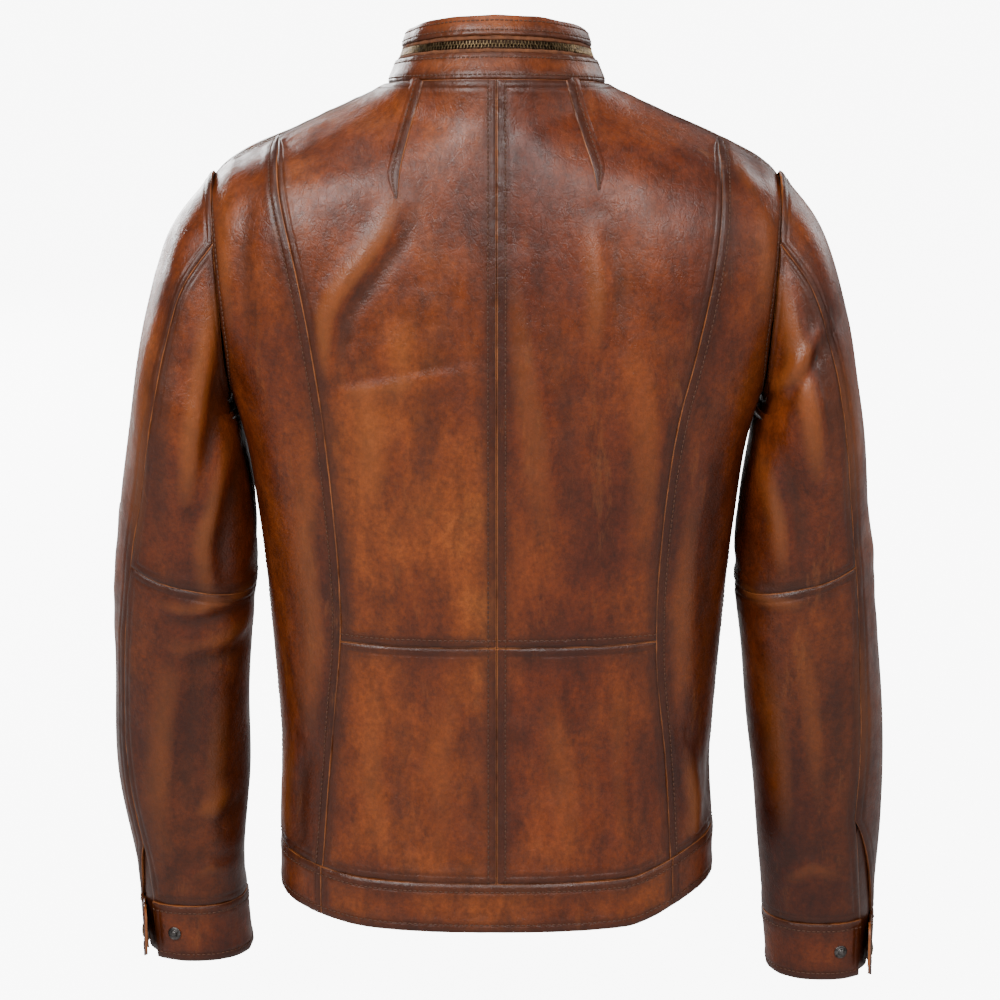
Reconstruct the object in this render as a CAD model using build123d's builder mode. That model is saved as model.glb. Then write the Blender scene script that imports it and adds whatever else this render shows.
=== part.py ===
from build123d import *
import os
from math import atan2, copysign, cos, hypot, pi, radians, sin

os.makedirs("parts", exist_ok=True)

# A man's leather riding jacket, size medium. Millimetres, +Z up. The wearer faces -Y, the
# wearer's left is +X, and the origin is the centre of the neck opening at the collar seam.

# ---- driving dimensions -------------------------------------------------------------------
LEATHER = 2.0            # outer leather with its turned edges
SEAM = 0.15              # half of the hairline between two panels sewn edge to edge
HEM = -648               # lower edge of the jacket
BAND_TOP = -609          # seam between the hem band and the panels
LOWER_SEAM = -420        # seam across the small of the back
ARMPIT = -262            # where the free sleeve starts
ELBOW = -385             # seam across the elbow
JOINT_GAP = 0.6          # slack in the leather at each sleeve joint
COLLAR_HEIGHT = 46
COLLAR_LEAN = 11.1       # degrees that the collar tips forward
COLLAR_BASE = 83         # outer radius of the collar at the neck seam
COLLAR_TOP = 66          # outer radius of the collar at its top edge
FRONT_SLOPE = 0.06       # the front closing is a straight line that leans this much

# Level rows of the torso: height, half width, back, and the power of the superellipse.
TORSO_ROWS = [
    (-670, 172, 116.5, 2.5),
    (-612, 172, 112.5, 2.5),
    (-555, 169.5, 107.5, 2.5),
    (-498, 172, 104, 2.5),
    (-441, 176, 103, 2.5),
    (-384, 180.5, 107, 2.6),
    (-328, 186.5, 112.5, 2.7),
    (-273, 194.5, 116.5, 2.8),
    (-220, 209, 118, 2.9),
    (-170, 224, 117, 3.0),
    (-125, 228.5, 114, 3.0),
    (-88, 225, 107.5, 2.8),
    (-58, 202, 100.5, 2.5),
    (-34, 154, 93.5, 2.0),
    (-14, 113, 88, 1.6),
    (4, 82, 82.5, 1.85),
    (22, 70, 78, 2.0),
]
# The sleeve head turns from the upright armhole to level: outer point and inner point
# (x, z) and half depth of each row.
SLEEVE_HEAD_ROWS = [
    ((218.4, -66), (205.0, -238), 61),
    ((247.0, -106), (206.5, -244), 69),
    ((268.5, -168), (204.5, -252), 72),
    ((285.0, -262), (199.0, -262), 72),
]
# Level rows of each sleeve: height, inner side, outer side.
SLEEVE_ROWS = {
    "left": [(-262, 199, 285), (-320, 190, 293.5), (-385, 189, 301.5), (-460, 195.5, 303),
             (-550, 198, 303.5), (-650, 203, 289), (-715, 199, 285)],
    "right": [(-262, 199, 285), (-320, 190, 290.5), (-385, 188, 296.5), (-460, 193.5, 304),
              (-550, 204, 311), (-650, 213, 306), (-732, 221, 304)],
}
CUFF_SEAM = {"left": -661, "right": -677}
CUFF_EDGE = {"left": -710, "right": -727}
SLIT_TOP = {"left": -612, "right": -588}
# Seam between centre back and side back, from the shoulder to the hem: (x, z).
SIDE_BACK_SEAM = {
    "left": [(167, 20), (164, -68), (151, -125), (136, -209), (125, -313), (121, -416),
             (126, -474), (136, -597), (141, -660)],
    "right": [(166, 20), (168, -96), (162, -136), (149, -197), (139.5, -236), (127.5, -322),
              (124, -440), (131, -514), (137, -631), (138, -660)],
}
HEM_SEAM = 138           # where the hem band is joined at the back

# Zips: everything is measured out from the middle of the chain.
TEETH_INNER = 0.6
TEETH_OUTER = 3.0
TEETH_HALF_THICK = 1.3
TAPE_OUTER = 20
CHAIN_DEPTH = 3.0        # middle of the tapes, below the outer face of the leather
TAPE_DEPTHS = (2.6, 3.4)
LINING_DEPTHS = (6.6, 7.6)
ZIP_GAP = 6.5            # half of the opening in the leather in which a slider runs
LINING_GAP = 8.5         # half of the opening in the lining behind a zip
FRONT_ZIP_TOP = -26
FRONT_ZIP_BOTTOM = -640
POCKET_X = 92
POCKET_TOP = -430
POCKET_BOTTOM = -570
POCKET_FACE_DEPTH = 9.0  # outer wall of a pocket bag, inside the lining
POCKET_BAG_DEPTH = 16
COLLAR_ZIP_HEIGHT = 26.5  # up the slope of the collar
COLLAR_FACING_DEPTHS = (7.0, 8.4)
COLLAR_FRONT_GAP = 8     # half of the opening at the throat
FAR = 400                # past the outside of the jacket in every direction

collar_axis_plane = Plane.XY.rotated((COLLAR_LEAN, 0, 0))
collar_axis = Axis((0, 0, 0), collar_axis_plane.z_dir)
collar_slope = atan2(COLLAR_BASE - COLLAR_TOP, COLLAR_HEIGHT)
COLLAR_LENGTH = hypot(COLLAR_BASE - COLLAR_TOP, COLLAR_HEIGHT)


# ---- shapes shared by many pieces -----------------------------------------------------------
def superellipse(half_x, half_y, power, count=12):
    """Points round a superellipse, starting at its front."""
    points = []
    for step in range(count):
        across = cos(2 * pi * step / count - pi / 2)
        along = sin(2 * pi * step / count - pi / 2)
        x = half_x * copysign(abs(across) ** (2 / power), across)
        y = half_y * copysign(abs(along) ** (2 / power), along)
        points.append((x, y))
    return points


def front_of(z):
    """The front of the torso at a height: a straight line, so that the zip is straight."""
    return -COLLAR_BASE + FRONT_SLOPE * z


def torso_rows(depth):
    """Rows of the torso with every wall moved inwards by a depth."""
    rows = []
    for index, (z, half, back, power) in enumerate(TORSO_ROWS):
        below = TORSO_ROWS[max(index - 1, 0)]
        above = TORSO_ROWS[min(index + 1, len(TORSO_ROWS) - 1)]
        rise, run = above[0] - below[0], above[1] - below[1]
        length = hypot(rise, run)
        rows.append((z + depth * run / length, half - depth * rise / length,
                     back - depth, front_of(z) + depth, power))
    return rows


def torso_block(depth):
    with BuildPart() as block:
        for z, half, back, front, power in torso_rows(depth):
            with BuildSketch(Plane.XY.offset(z).shift_origin((0, (back + front) / 2, z))):
                with BuildLine():
                    Spline(*superellipse(half, (back - front) / 2, power), periodic=True)
                make_face()
        loft()
    return block.part


def sleeve_depth(z):
    """Half depth of a sleeve at a height, and the middle of its depth."""
    down = (ARMPIT - z) / (ARMPIT + 715)
    return 72 - 30 * down ** 0.6, 12 - 38 * down


def oval(plane, half_width, half_depth):
    """One row of a sleeve."""
    with BuildSketch(plane) as row:
        with BuildLine():
            Spline(*superellipse(half_width, half_depth, 2.2), periodic=True)
        make_face()
    return row.sketch


def head_block(depth):
    """The solid head of a sleeve, on the wearer's left."""
    with BuildPart() as block:
        for outer, inner, half_depth in SLEEVE_HEAD_ROWS:
            across = Vector(outer[0] - inner[0], 0, outer[1] - inner[1])
            middle = ((outer[0] + inner[0]) / 2, 12, (outer[1] + inner[1]) / 2)
            plane = Plane(middle, x_dir=across, z_dir=across.cross(Vector(0, 1, 0)))
            add(oval(plane, across.length / 2 - depth, half_depth - depth))
        loft()
    return block.part


def sleeve_block(side, depth):
    """A solid sleeve below the armpit, on the wearer's left."""
    with BuildPart() as block:
        for z, inner, outer in SLEEVE_ROWS[side]:
            half_depth, middle = sleeve_depth(z)
            plane = Plane(((inner + outer) / 2, middle, z), x_dir=(1, 0, 0), z_dir=(0, 0, 1))
            add(oval(plane, (outer - inner) / 2 - depth, half_depth - depth))
        loft()
    return block.part


def save(piece, node):
    """Labels a finished piece and writes it to its own file."""
    piece.part.label = node
    export_step(piece.part, f"parts/{node}.step")


def collar_outline(climb, depth):
    """Radius and height on the collar, from the way up its slope and the depth under its face."""
    return (COLLAR_BASE - climb * sin(collar_slope) - depth * cos(collar_slope),
            climb * cos(collar_slope) - depth * sin(collar_slope))


def collar_ring(low, high, depths, start=0, sweep=360):
    """A ring of the leaning collar, from a turn counted from the wearer's left."""
    section = Plane((0, 0, 0), x_dir=Vector(1, 0, 0).rotate(collar_axis, start),
                    z_dir=(collar_axis_plane.y_dir * -1).rotate(collar_axis, start))
    with BuildPart() as ring:
        with BuildSketch(section):
            with BuildLine():
                Polyline(collar_outline(low, depths[0]), collar_outline(high, depths[0]),
                         collar_outline(high, depths[1]), collar_outline(low, depths[1]),
                         close=True)
            make_face()
        revolve(axis=collar_axis, revolution_arc=sweep)
    return ring.part


# ---- zips -----------------------------------------------------------------------------------
# A zip lies in a plane whose X goes across the chain, Y goes along it and Z points out of the
# jacket. Z is zero in the middle of the tapes.
PLATE_HALF_WIDTH = 5.2
PLATE_HALF_LENGTH = 6.5
PLATE_INNER = 1.75
PLATE_OUTER = 3.1
PIN_HEIGHT = 4.9         # axis on which the puller swings
PULL_LENGTH = 34


def slider(plane, node):
    """A slider: two plates joined by a thin post that parts the teeth, and a bail."""
    with BuildPart() as piece:
        for level in (PLATE_INNER, -PLATE_OUTER):
            with BuildSketch(plane.offset(level)):
                with BuildLine():
                    Polyline((-PLATE_HALF_WIDTH, PLATE_HALF_LENGTH),
                             (PLATE_HALF_WIDTH, PLATE_HALF_LENGTH),
                             (3.8, -PLATE_HALF_LENGTH), (-3.8, -PLATE_HALF_LENGTH), close=True)
                make_face()
            extrude(amount=PLATE_OUTER - PLATE_INNER)
        with BuildSketch(plane.offset(-PLATE_INNER - 0.2)):
            with Locations((0, 3.6)):
                Rectangle(0.56, 4.4)
        extrude(amount=2 * PLATE_INNER + 0.4)
        bail = Plane(plane.origin, x_dir=plane.y_dir, z_dir=plane.x_dir)
        with BuildSketch(bail.offset(-0.9)):
            with Locations((0, PLATE_OUTER + 1.75)):
                RectangleRounded(6.4, 3.9, 1.2)
                Circle(1.1, mode=Mode.SUBTRACT)
        extrude(amount=1.8)
    save(piece, node)


def pull(plane, node):
    """A puller hanging from the bail: a cross pin, two arms and a plate with a slot."""
    with BuildPart() as piece:
        bail = Plane(plane.origin, x_dir=plane.y_dir, z_dir=plane.x_dir)
        with BuildSketch(bail.offset(-3.2)):
            with Locations((0, PIN_HEIGHT - 0.05)):
                Circle(0.7)
        extrude(amount=6.4)
        with BuildSketch(plane.offset(PIN_HEIGHT - 0.75)):
            for x in (-2.6, 2.6):
                with Locations((x, -2.2)):
                    Rectangle(1.2, 4.8)
            with BuildLine():
                Polyline((-3.2, -4), (3.2, -4), (4.2, 4 - PULL_LENGTH), (2.6, -PULL_LENGTH),
                         (-2.6, -PULL_LENGTH), (-4.2, 4 - PULL_LENGTH), close=True)
            make_face()
            with Locations((0, 7 - PULL_LENGTH)):
                SlotOverall(7, 3.4, rotation=90, mode=Mode.SUBTRACT)
        extrude(amount=1.4)
    save(piece, node)


def teeth_rows(plane, length, node):
    """Both rows of teeth of a straight zip, each row as one bar of the teeth's outer size."""
    with BuildPart() as rows:
        with BuildSketch(plane.offset(-TEETH_HALF_THICK)):
            for sign in (-1, 1):
                with Locations((sign * (TEETH_INNER + TEETH_OUTER) / 2, length / 2)):
                    Rectangle(TEETH_OUTER - TEETH_INNER, length)
        extrude(amount=2 * TEETH_HALF_THICK)
    save(rows, node)


# ---- solid blocks that the layers are cut from ----------------------------------------------
torso = {depth: torso_block(depth) for depth in (
    0, LEATHER, *TAPE_DEPTHS, *LINING_DEPTHS, POCKET_FACE_DEPTH, POCKET_FACE_DEPTH + 1,
    POCKET_FACE_DEPTH + POCKET_BAG_DEPTH - 1, POCKET_FACE_DEPTH + POCKET_BAG_DEPTH)}

ARMHOLE_TOP = 40
(head_x, head_z), (base_x, base_z), _ = SLEEVE_HEAD_ROWS[0]


def armhole_x(z):
    """The armhole is cut along the upright row of the sleeve head, one joint gap inside it."""
    return head_x + (z - head_z) * (head_x - base_x) / (head_z - base_z) - JOINT_GAP


ARMHOLE_LINE = ((armhole_x(ARMHOLE_TOP), ARMHOLE_TOP), (armhole_x(ARMPIT), ARMPIT))


def trimmed(outer, inner, neck_drop=SEAM):
    """A layer of the torso between two depths, open at the neck, armholes and hem."""
    with BuildPart() as layer:
        add(torso[outer])
        add(torso[inner], mode=Mode.SUBTRACT)
        split(bisect_by=collar_axis_plane.offset(-neck_drop), keep=Keep.BOTTOM)
        split(bisect_by=Plane.XY.offset(HEM), keep=Keep.TOP)
        with BuildSketch(Plane.XZ):
            for sign in (-1, 1):
                with BuildLine():
                    Polyline(*[(sign * x, z) for x, z in (
                        *ARMHOLE_LINE, (FAR, ARMHOLE_LINE[1][1]), (FAR, ARMHOLE_LINE[0][1]))],
                        close=True)
                make_face()
        extrude(amount=FAR, both=True, mode=Mode.SUBTRACT)
    return layer.part


shell = trimmed(0, LEATHER)
tape_shell = trimmed(*TAPE_DEPTHS, neck_drop=1)
lining_shell = trimmed(*LINING_DEPTHS, neck_drop=1)


def front_point(row, x, depth):
    """A point of the front of the torso, on one of its rows."""
    z, half, back, front, power = torso_rows(depth)[row]
    reach = (back - front) / 2 * (1 - abs(x / half) ** power) ** (1 / power)
    return Vector(x, (back + front) / 2 - reach, z)


def zip_plane(low, high, across):
    """The plane of a straight zip, with its origin at the lower end."""
    return Plane(low, x_dir=across, z_dir=across.cross(high - low))


front_zip = zip_plane(Vector(0, front_of(FRONT_ZIP_BOTTOM) + CHAIN_DEPTH, FRONT_ZIP_BOTTOM),
                      Vector(0, front_of(FRONT_ZIP_TOP) + CHAIN_DEPTH, FRONT_ZIP_TOP),
                      Vector(1, 0, 0))
front_zip_length = hypot(1, FRONT_SLOPE) * (FRONT_ZIP_TOP - FRONT_ZIP_BOTTOM)
pocket_length = POCKET_TOP - POCKET_BOTTOM


def pocket_plane(sign):
    """The plane of a pocket zip, on the line between the rows at the ends of the pocket."""
    low, high = (front_point(row, sign * POCKET_X, CHAIN_DEPTH) for row in (2, 4))
    across = front_point(3, sign * POCKET_X + 4, CHAIN_DEPTH) - front_point(
        3, sign * POCKET_X - 4, CHAIN_DEPTH)
    along = (high - low) * (1 / (high.Z - low.Z))
    return zip_plane(low + along * (POCKET_BOTTOM - low.Z), high, across)


# ---- back, side and front panels --------------------------------------------------------------
SIDES = (("left", 1), ("right", -1))
pocket_zips = {side: pocket_plane(sign) for side, sign in SIDES}

for side, sign in SIDES:
    seam = [(sign * (x - SEAM), z) for x, z in SIDE_BACK_SEAM[side]]
    outer_seam = [(sign * (x + SEAM), z) for x, z in SIDE_BACK_SEAM[side]]
    top, bottom = seam[0][1], seam[-1][1]

    for name, floor, ceiling in (("upper", LOWER_SEAM + SEAM, top),
                                 ("lower", BAND_TOP + SEAM, LOWER_SEAM - SEAM)):
        with BuildPart() as back_panel:
            add(shell)
            with BuildSketch(Plane.XZ):
                with BuildLine():
                    edge = Spline(*seam)
                    Polyline(edge @ 0, (sign * SEAM, top), (sign * SEAM, bottom), edge @ 1)
                make_face()
            extrude(amount=-FAR, mode=Mode.INTERSECT)
            split(bisect_by=Plane.XY.offset(floor), keep=Keep.TOP)
            split(bisect_by=Plane.XY.offset(ceiling), keep=Keep.BOTTOM)
            split(bisect_by=Plane.XZ.offset(-SEAM), keep=Keep.BOTTOM)
        save(back_panel, f"back_{name}_{side}")

    with BuildPart() as side_panel:
        add(shell)
        with BuildSketch(Plane.XZ):
            with BuildLine():
                edge = Spline(*outer_seam)
                Polyline(edge @ 0, (sign * FAR, top), (sign * FAR, bottom), edge @ 1)
            make_face()
        extrude(amount=-FAR, mode=Mode.INTERSECT)
        split(bisect_by=Plane.XY.offset(BAND_TOP + SEAM), keep=Keep.TOP)
        split(bisect_by=Plane.XZ.offset(-SEAM), keep=Keep.BOTTOM)
    save(side_panel, f"side_back_{side}")

    with BuildPart() as front_panel:
        add(shell)
        with BuildSketch(Plane.XZ.offset(SEAM)):
            with Locations((sign * (ZIP_GAP + FAR / 2), (top + BAND_TOP + SEAM) / 2)):
                Rectangle(FAR, top - BAND_TOP - SEAM)
        extrude(amount=FAR, mode=Mode.INTERSECT)
        with BuildSketch(pocket_zips[side].offset(-10)):
            with Locations((0, pocket_length / 2)):
                RectangleRounded(2 * ZIP_GAP, pocket_length + 4, 2)
        extrude(amount=20, mode=Mode.SUBTRACT)
    save(front_panel, f"front_{side}")

    with BuildPart() as band:
        add(shell)
        split(bisect_by=Plane.XY.offset(BAND_TOP - SEAM), keep=Keep.BOTTOM)
        split(bisect_by=Plane.YZ.offset(sign * ZIP_GAP), keep=Keep.TOP if sign > 0 else Keep.BOTTOM)
        with BuildSketch(Plane.XY.offset(HEM - 1)):
            with Locations((0, FAR / 2)):
                Rectangle(2 * (HEM_SEAM + SEAM), FAR)
        extrude(amount=FAR, mode=Mode.SUBTRACT)
    save(band, f"hem_band_{side}")

with BuildPart() as band:
    add(shell)
    split(bisect_by=Plane.XY.offset(BAND_TOP - SEAM), keep=Keep.BOTTOM)
    with BuildSketch(Plane.XY.offset(HEM - 1)):
        with Locations((0, FAR / 2)):
            Rectangle(2 * (HEM_SEAM - SEAM), FAR)
    extrude(amount=FAR, mode=Mode.INTERSECT)
save(band, "hem_band_back")


# ---- lining, hanger and pocket bags -----------------------------------------------------------
with BuildPart() as lining:
    add(lining_shell)
    split(bisect_by=Plane.XY.offset(HEM + 8), keep=Keep.TOP)
    with BuildSketch(Plane.XZ):
        with Locations((0, HEM / 2)):
            Rectangle(2 * LINING_GAP, -2 * HEM)
    extrude(amount=FAR, mode=Mode.SUBTRACT)
    for side, sign in SIDES:
        with BuildSketch(pocket_zips[side].offset(-10)):
            with Locations((0, pocket_length / 2)):
                Rectangle(2 * LINING_GAP, pocket_length + 8)
        extrude(amount=20, mode=Mode.SUBTRACT)
save(lining, "body_lining")

HANGER_REACH = 20
HANGER_THICKNESS = 1.6
HANGER_WIDTH = 7
HANGER_LOW = -12
HANGER_END = COLLAR_BASE - 10.5      # the strap stops just short of the lining
with BuildPart() as hanger:
    with BuildSketch(Plane.XY.offset(HANGER_LOW)):
        with Locations((0, COLLAR_BASE)):
            Circle(HANGER_REACH)
            Circle(HANGER_REACH - HANGER_THICKNESS, mode=Mode.SUBTRACT)
        with Locations((0, HANGER_END)):
            Rectangle(3 * HANGER_REACH, 3 * HANGER_REACH, align=(Align.CENTER, Align.MIN),
                      mode=Mode.SUBTRACT)
    extrude(amount=HANGER_WIDTH)
save(hanger, "hanger_loop")

BAG_LOW, BAG_HIGH = POCKET_BOTTOM - 20, POCKET_TOP + 12
BAG_INNER, BAG_OUTER = 55, 150
for side, sign in SIDES:
    with BuildPart() as bag:
        for wall, mode in ((0, Mode.ADD), (1, Mode.SUBTRACT)):
            with BuildPart(mode=mode) as layer:
                add(torso[POCKET_FACE_DEPTH + wall])
                add(torso[POCKET_FACE_DEPTH + POCKET_BAG_DEPTH - wall], mode=Mode.SUBTRACT)
                with BuildSketch(Plane.XZ):
                    with Locations((sign * (BAG_INNER + BAG_OUTER) / 2, (BAG_LOW + BAG_HIGH) / 2)):
                        Rectangle(BAG_OUTER - BAG_INNER - 2 * wall, BAG_HIGH - BAG_LOW - 2 * wall)
                extrude(amount=FAR, mode=Mode.INTERSECT)
        with BuildSketch(pocket_zips[side].offset(-11)):
            with Locations((0, pocket_length / 2)):
                Rectangle(2 * LINING_GAP, pocket_length + 8)
        extrude(amount=FAR, mode=Mode.SUBTRACT)
    save(bag, f"pocket_bag_{side}")


# ---- front zip and pocket zips ----------------------------------------------------------------
BOX_LENGTH = 10
STUB_LENGTH = 6
STOP_LENGTH = 4
with BuildPart() as tapes:
    add(tape_shell)
    with BuildSketch(Plane.XZ):
        for sign in (-1, 1):
            with Locations((sign * (TEETH_OUTER + TAPE_OUTER) / 2, HEM / 2 + 5)):
                Rectangle(TAPE_OUTER - TEETH_OUTER, -HEM - 10)
    extrude(amount=FAR, mode=Mode.INTERSECT)
    with BuildSketch(Plane.XZ):
        with Locations((0, FRONT_ZIP_BOTTOM)):
            Rectangle(9, 2 * BOX_LENGTH + 1)
    extrude(amount=FAR, mode=Mode.SUBTRACT)
save(tapes, "front_zip_tapes")

first_tooth = BOX_LENGTH + STUB_LENGTH + 0.4
teeth_length = front_zip_length - first_tooth - STOP_LENGTH - 0.6
teeth_rows(front_zip.shift_origin((front_zip * Pos(0, first_tooth, 0)).position),
           teeth_length, "front_zip_teeth")

with BuildPart() as stops:
    with BuildSketch(front_zip.offset(-2.2)):
        with Locations((0, BOX_LENGTH / 2)):
            RectangleRounded(8, BOX_LENGTH, 1)
    extrude(amount=4.4)
    with BuildSketch(front_zip.offset(-TEETH_HALF_THICK)):
        for x in (-1.8, 1.8):
            with Locations((x, BOX_LENGTH + STUB_LENGTH / 2 + 0.2)):
                Rectangle(2.2, STUB_LENGTH)
            with Locations((x, front_zip_length - STOP_LENGTH / 2)):
                Rectangle(2.2, STOP_LENGTH)
    extrude(amount=2 * TEETH_HALF_THICK)
save(stops, "front_zip_stops")


def moved_up(plane, distance):
    """The same plane, further along its zip."""
    return plane.shift_origin((plane * Pos(0, distance, 0)).position)


front_slider_place = moved_up(front_zip, front_zip_length - STOP_LENGTH - PLATE_HALF_LENGTH - 1)
slider(front_slider_place, "front_zip_slider")
pull(front_slider_place, "front_zip_pull")

for side, sign in SIDES:
    place = pocket_zips[side]
    with BuildPart() as tapes:
        add(tape_shell)
        with BuildSketch(place.offset(-10)):
            for edge in (-1, 1):
                with Locations((edge * (TEETH_OUTER + TAPE_OUTER) / 2, pocket_length / 2)):
                    Rectangle(TAPE_OUTER - TEETH_OUTER, pocket_length + 16)
        extrude(amount=20, mode=Mode.INTERSECT)
    save(tapes, f"pocket_zip_tapes_{side}")
    teeth_rows(place, pocket_length, f"pocket_zip_teeth_{side}")
    slider_place = moved_up(place, pocket_length - PLATE_HALF_LENGTH - 1)
    slider(slider_place, f"pocket_zip_slider_{side}")
    pull(slider_place, f"pocket_zip_pull_{side}")


# ---- collar -----------------------------------------------------------------------------------
def open_at_throat(piece, half_gap):
    """Takes the throat opening out of a ring of the collar."""
    with BuildPart() as opened:
        add(piece)
        with BuildSketch(collar_axis_plane):
            with Locations((0, -FAR / 2)):
                Rectangle(2 * half_gap, FAR)
        extrude(amount=FAR, both=True, mode=Mode.SUBTRACT)
    return opened


collar_bands = {
    "collar_lower_band": (1, COLLAR_ZIP_HEIGHT - ZIP_GAP, (0, LEATHER)),
    "collar_upper_band": (COLLAR_ZIP_HEIGHT + ZIP_GAP, COLLAR_LENGTH, (0, LEATHER)),
    "collar_facing": (4, COLLAR_LENGTH, COLLAR_FACING_DEPTHS),
}
for node, (low, high, depths) in collar_bands.items():
    save(open_at_throat(collar_ring(low, high, depths), COLLAR_FRONT_GAP), node)

CHAIN_DEPTHS = (CHAIN_DEPTH - TEETH_HALF_THICK, CHAIN_DEPTH + TEETH_HALF_THICK)
for node, reaches, depths in (("collar_zip_tapes", (TEETH_OUTER, 17), TAPE_DEPTHS),
                              ("collar_zip_teeth", (TEETH_INNER, TEETH_OUTER), CHAIN_DEPTHS)):
    with BuildPart() as rings:
        for sign in (-1, 1):
            edges = sorted(COLLAR_ZIP_HEIGHT + sign * reach for reach in reaches)
            add(collar_ring(*edges, depths))
    save(open_at_throat(rings.part, COLLAR_FRONT_GAP + 1), node)


def collar_place(turn, height, depth):
    """A plane on the collar: X runs up its slope, Y round it, Z outwards."""
    radius, level = collar_outline(height, depth)
    outward = collar_axis_plane.x_dir.rotate(collar_axis, turn)
    axis = collar_axis_plane.z_dir
    uphill = axis * cos(collar_slope) - outward * sin(collar_slope)
    normal = outward * cos(collar_slope) + axis * sin(collar_slope)
    return Plane(outward * radius + axis * level, x_dir=uphill, z_dir=normal)


COLLAR_SLIDER_TURN = -74     # degrees from the wearer's left, in front of the left ear
collar_slider_place = collar_place(COLLAR_SLIDER_TURN, COLLAR_ZIP_HEIGHT, CHAIN_DEPTH)
slider(collar_slider_place, "collar_zip_slider")
pull(collar_slider_place, "collar_zip_pull")

TAB_HEIGHTS = (3, 16)
TAB_DEPTHS = (-4.6, -2.6)
TAB_ROOT, TAB_TIP = -108, -70
SNAP_TURN = -75
snap_height = sum(TAB_HEIGHTS) / 2
with BuildPart() as tab:
    add(collar_ring(*TAB_HEIGHTS, TAB_DEPTHS, start=TAB_ROOT, sweep=TAB_TIP - TAB_ROOT))
save(tab, "collar_tab")

with BuildPart() as snap_cap:
    with BuildSketch(collar_place(SNAP_TURN, snap_height, TAB_DEPTHS[0] - 0.1)):
        Circle(5)
    extrude(amount=1.8)
save(snap_cap, "collar_snap_cap")
with BuildPart() as snap_stud:
    with BuildSketch(collar_place(SNAP_TURN, snap_height, -0.25)):
        Circle(4)
    extrude(amount=1.6)
save(snap_stud, "collar_snap_stud")


# ---- sleeves ----------------------------------------------------------------------------------
SLEEVE_LINING = (4.0, 4.8)
CUFF_PROUD = -0.8
SEAM_TURN = 42           # degrees: the sleeve's seams run at the outer back and the inner front
SLIT_HALF_WIDTH = 2.5
TAB_ROOT_TURN, SLIT_BACK_TURN = 15, 45
STUD_TURN = 72
CUFF_TAB_LENGTH = 32
CUFF_TAB_TURN = 96
SNAP_RADIUS = 5.5

seam_line = Vector(1, 0, 0).rotate(Axis.Z, SEAM_TURN)
sleeve_fall = Vector(2, -34, -400)


def cuff_point(side, turn, z, proud=0):
    """A point of a cuff's outer face, and the middle of the cuff at that height."""
    rows = SLEEVE_ROWS[side]
    low, high = rows[-1], rows[-2]
    share = (z - low[0]) / (high[0] - low[0])
    inner, outer = (low[k] + share * (high[k] - low[k]) for k in (1, 2))
    half_depth, middle = sleeve_depth(z)
    centre = Vector((inner + outer) / 2, middle, z)
    power = 2 / 2.2
    reach = Vector(((outer - inner) / 2 + proud) * cos(radians(turn)) ** power,
                   (half_depth + proud) * sin(radians(turn)) ** power, 0)
    return centre + reach, centre


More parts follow.
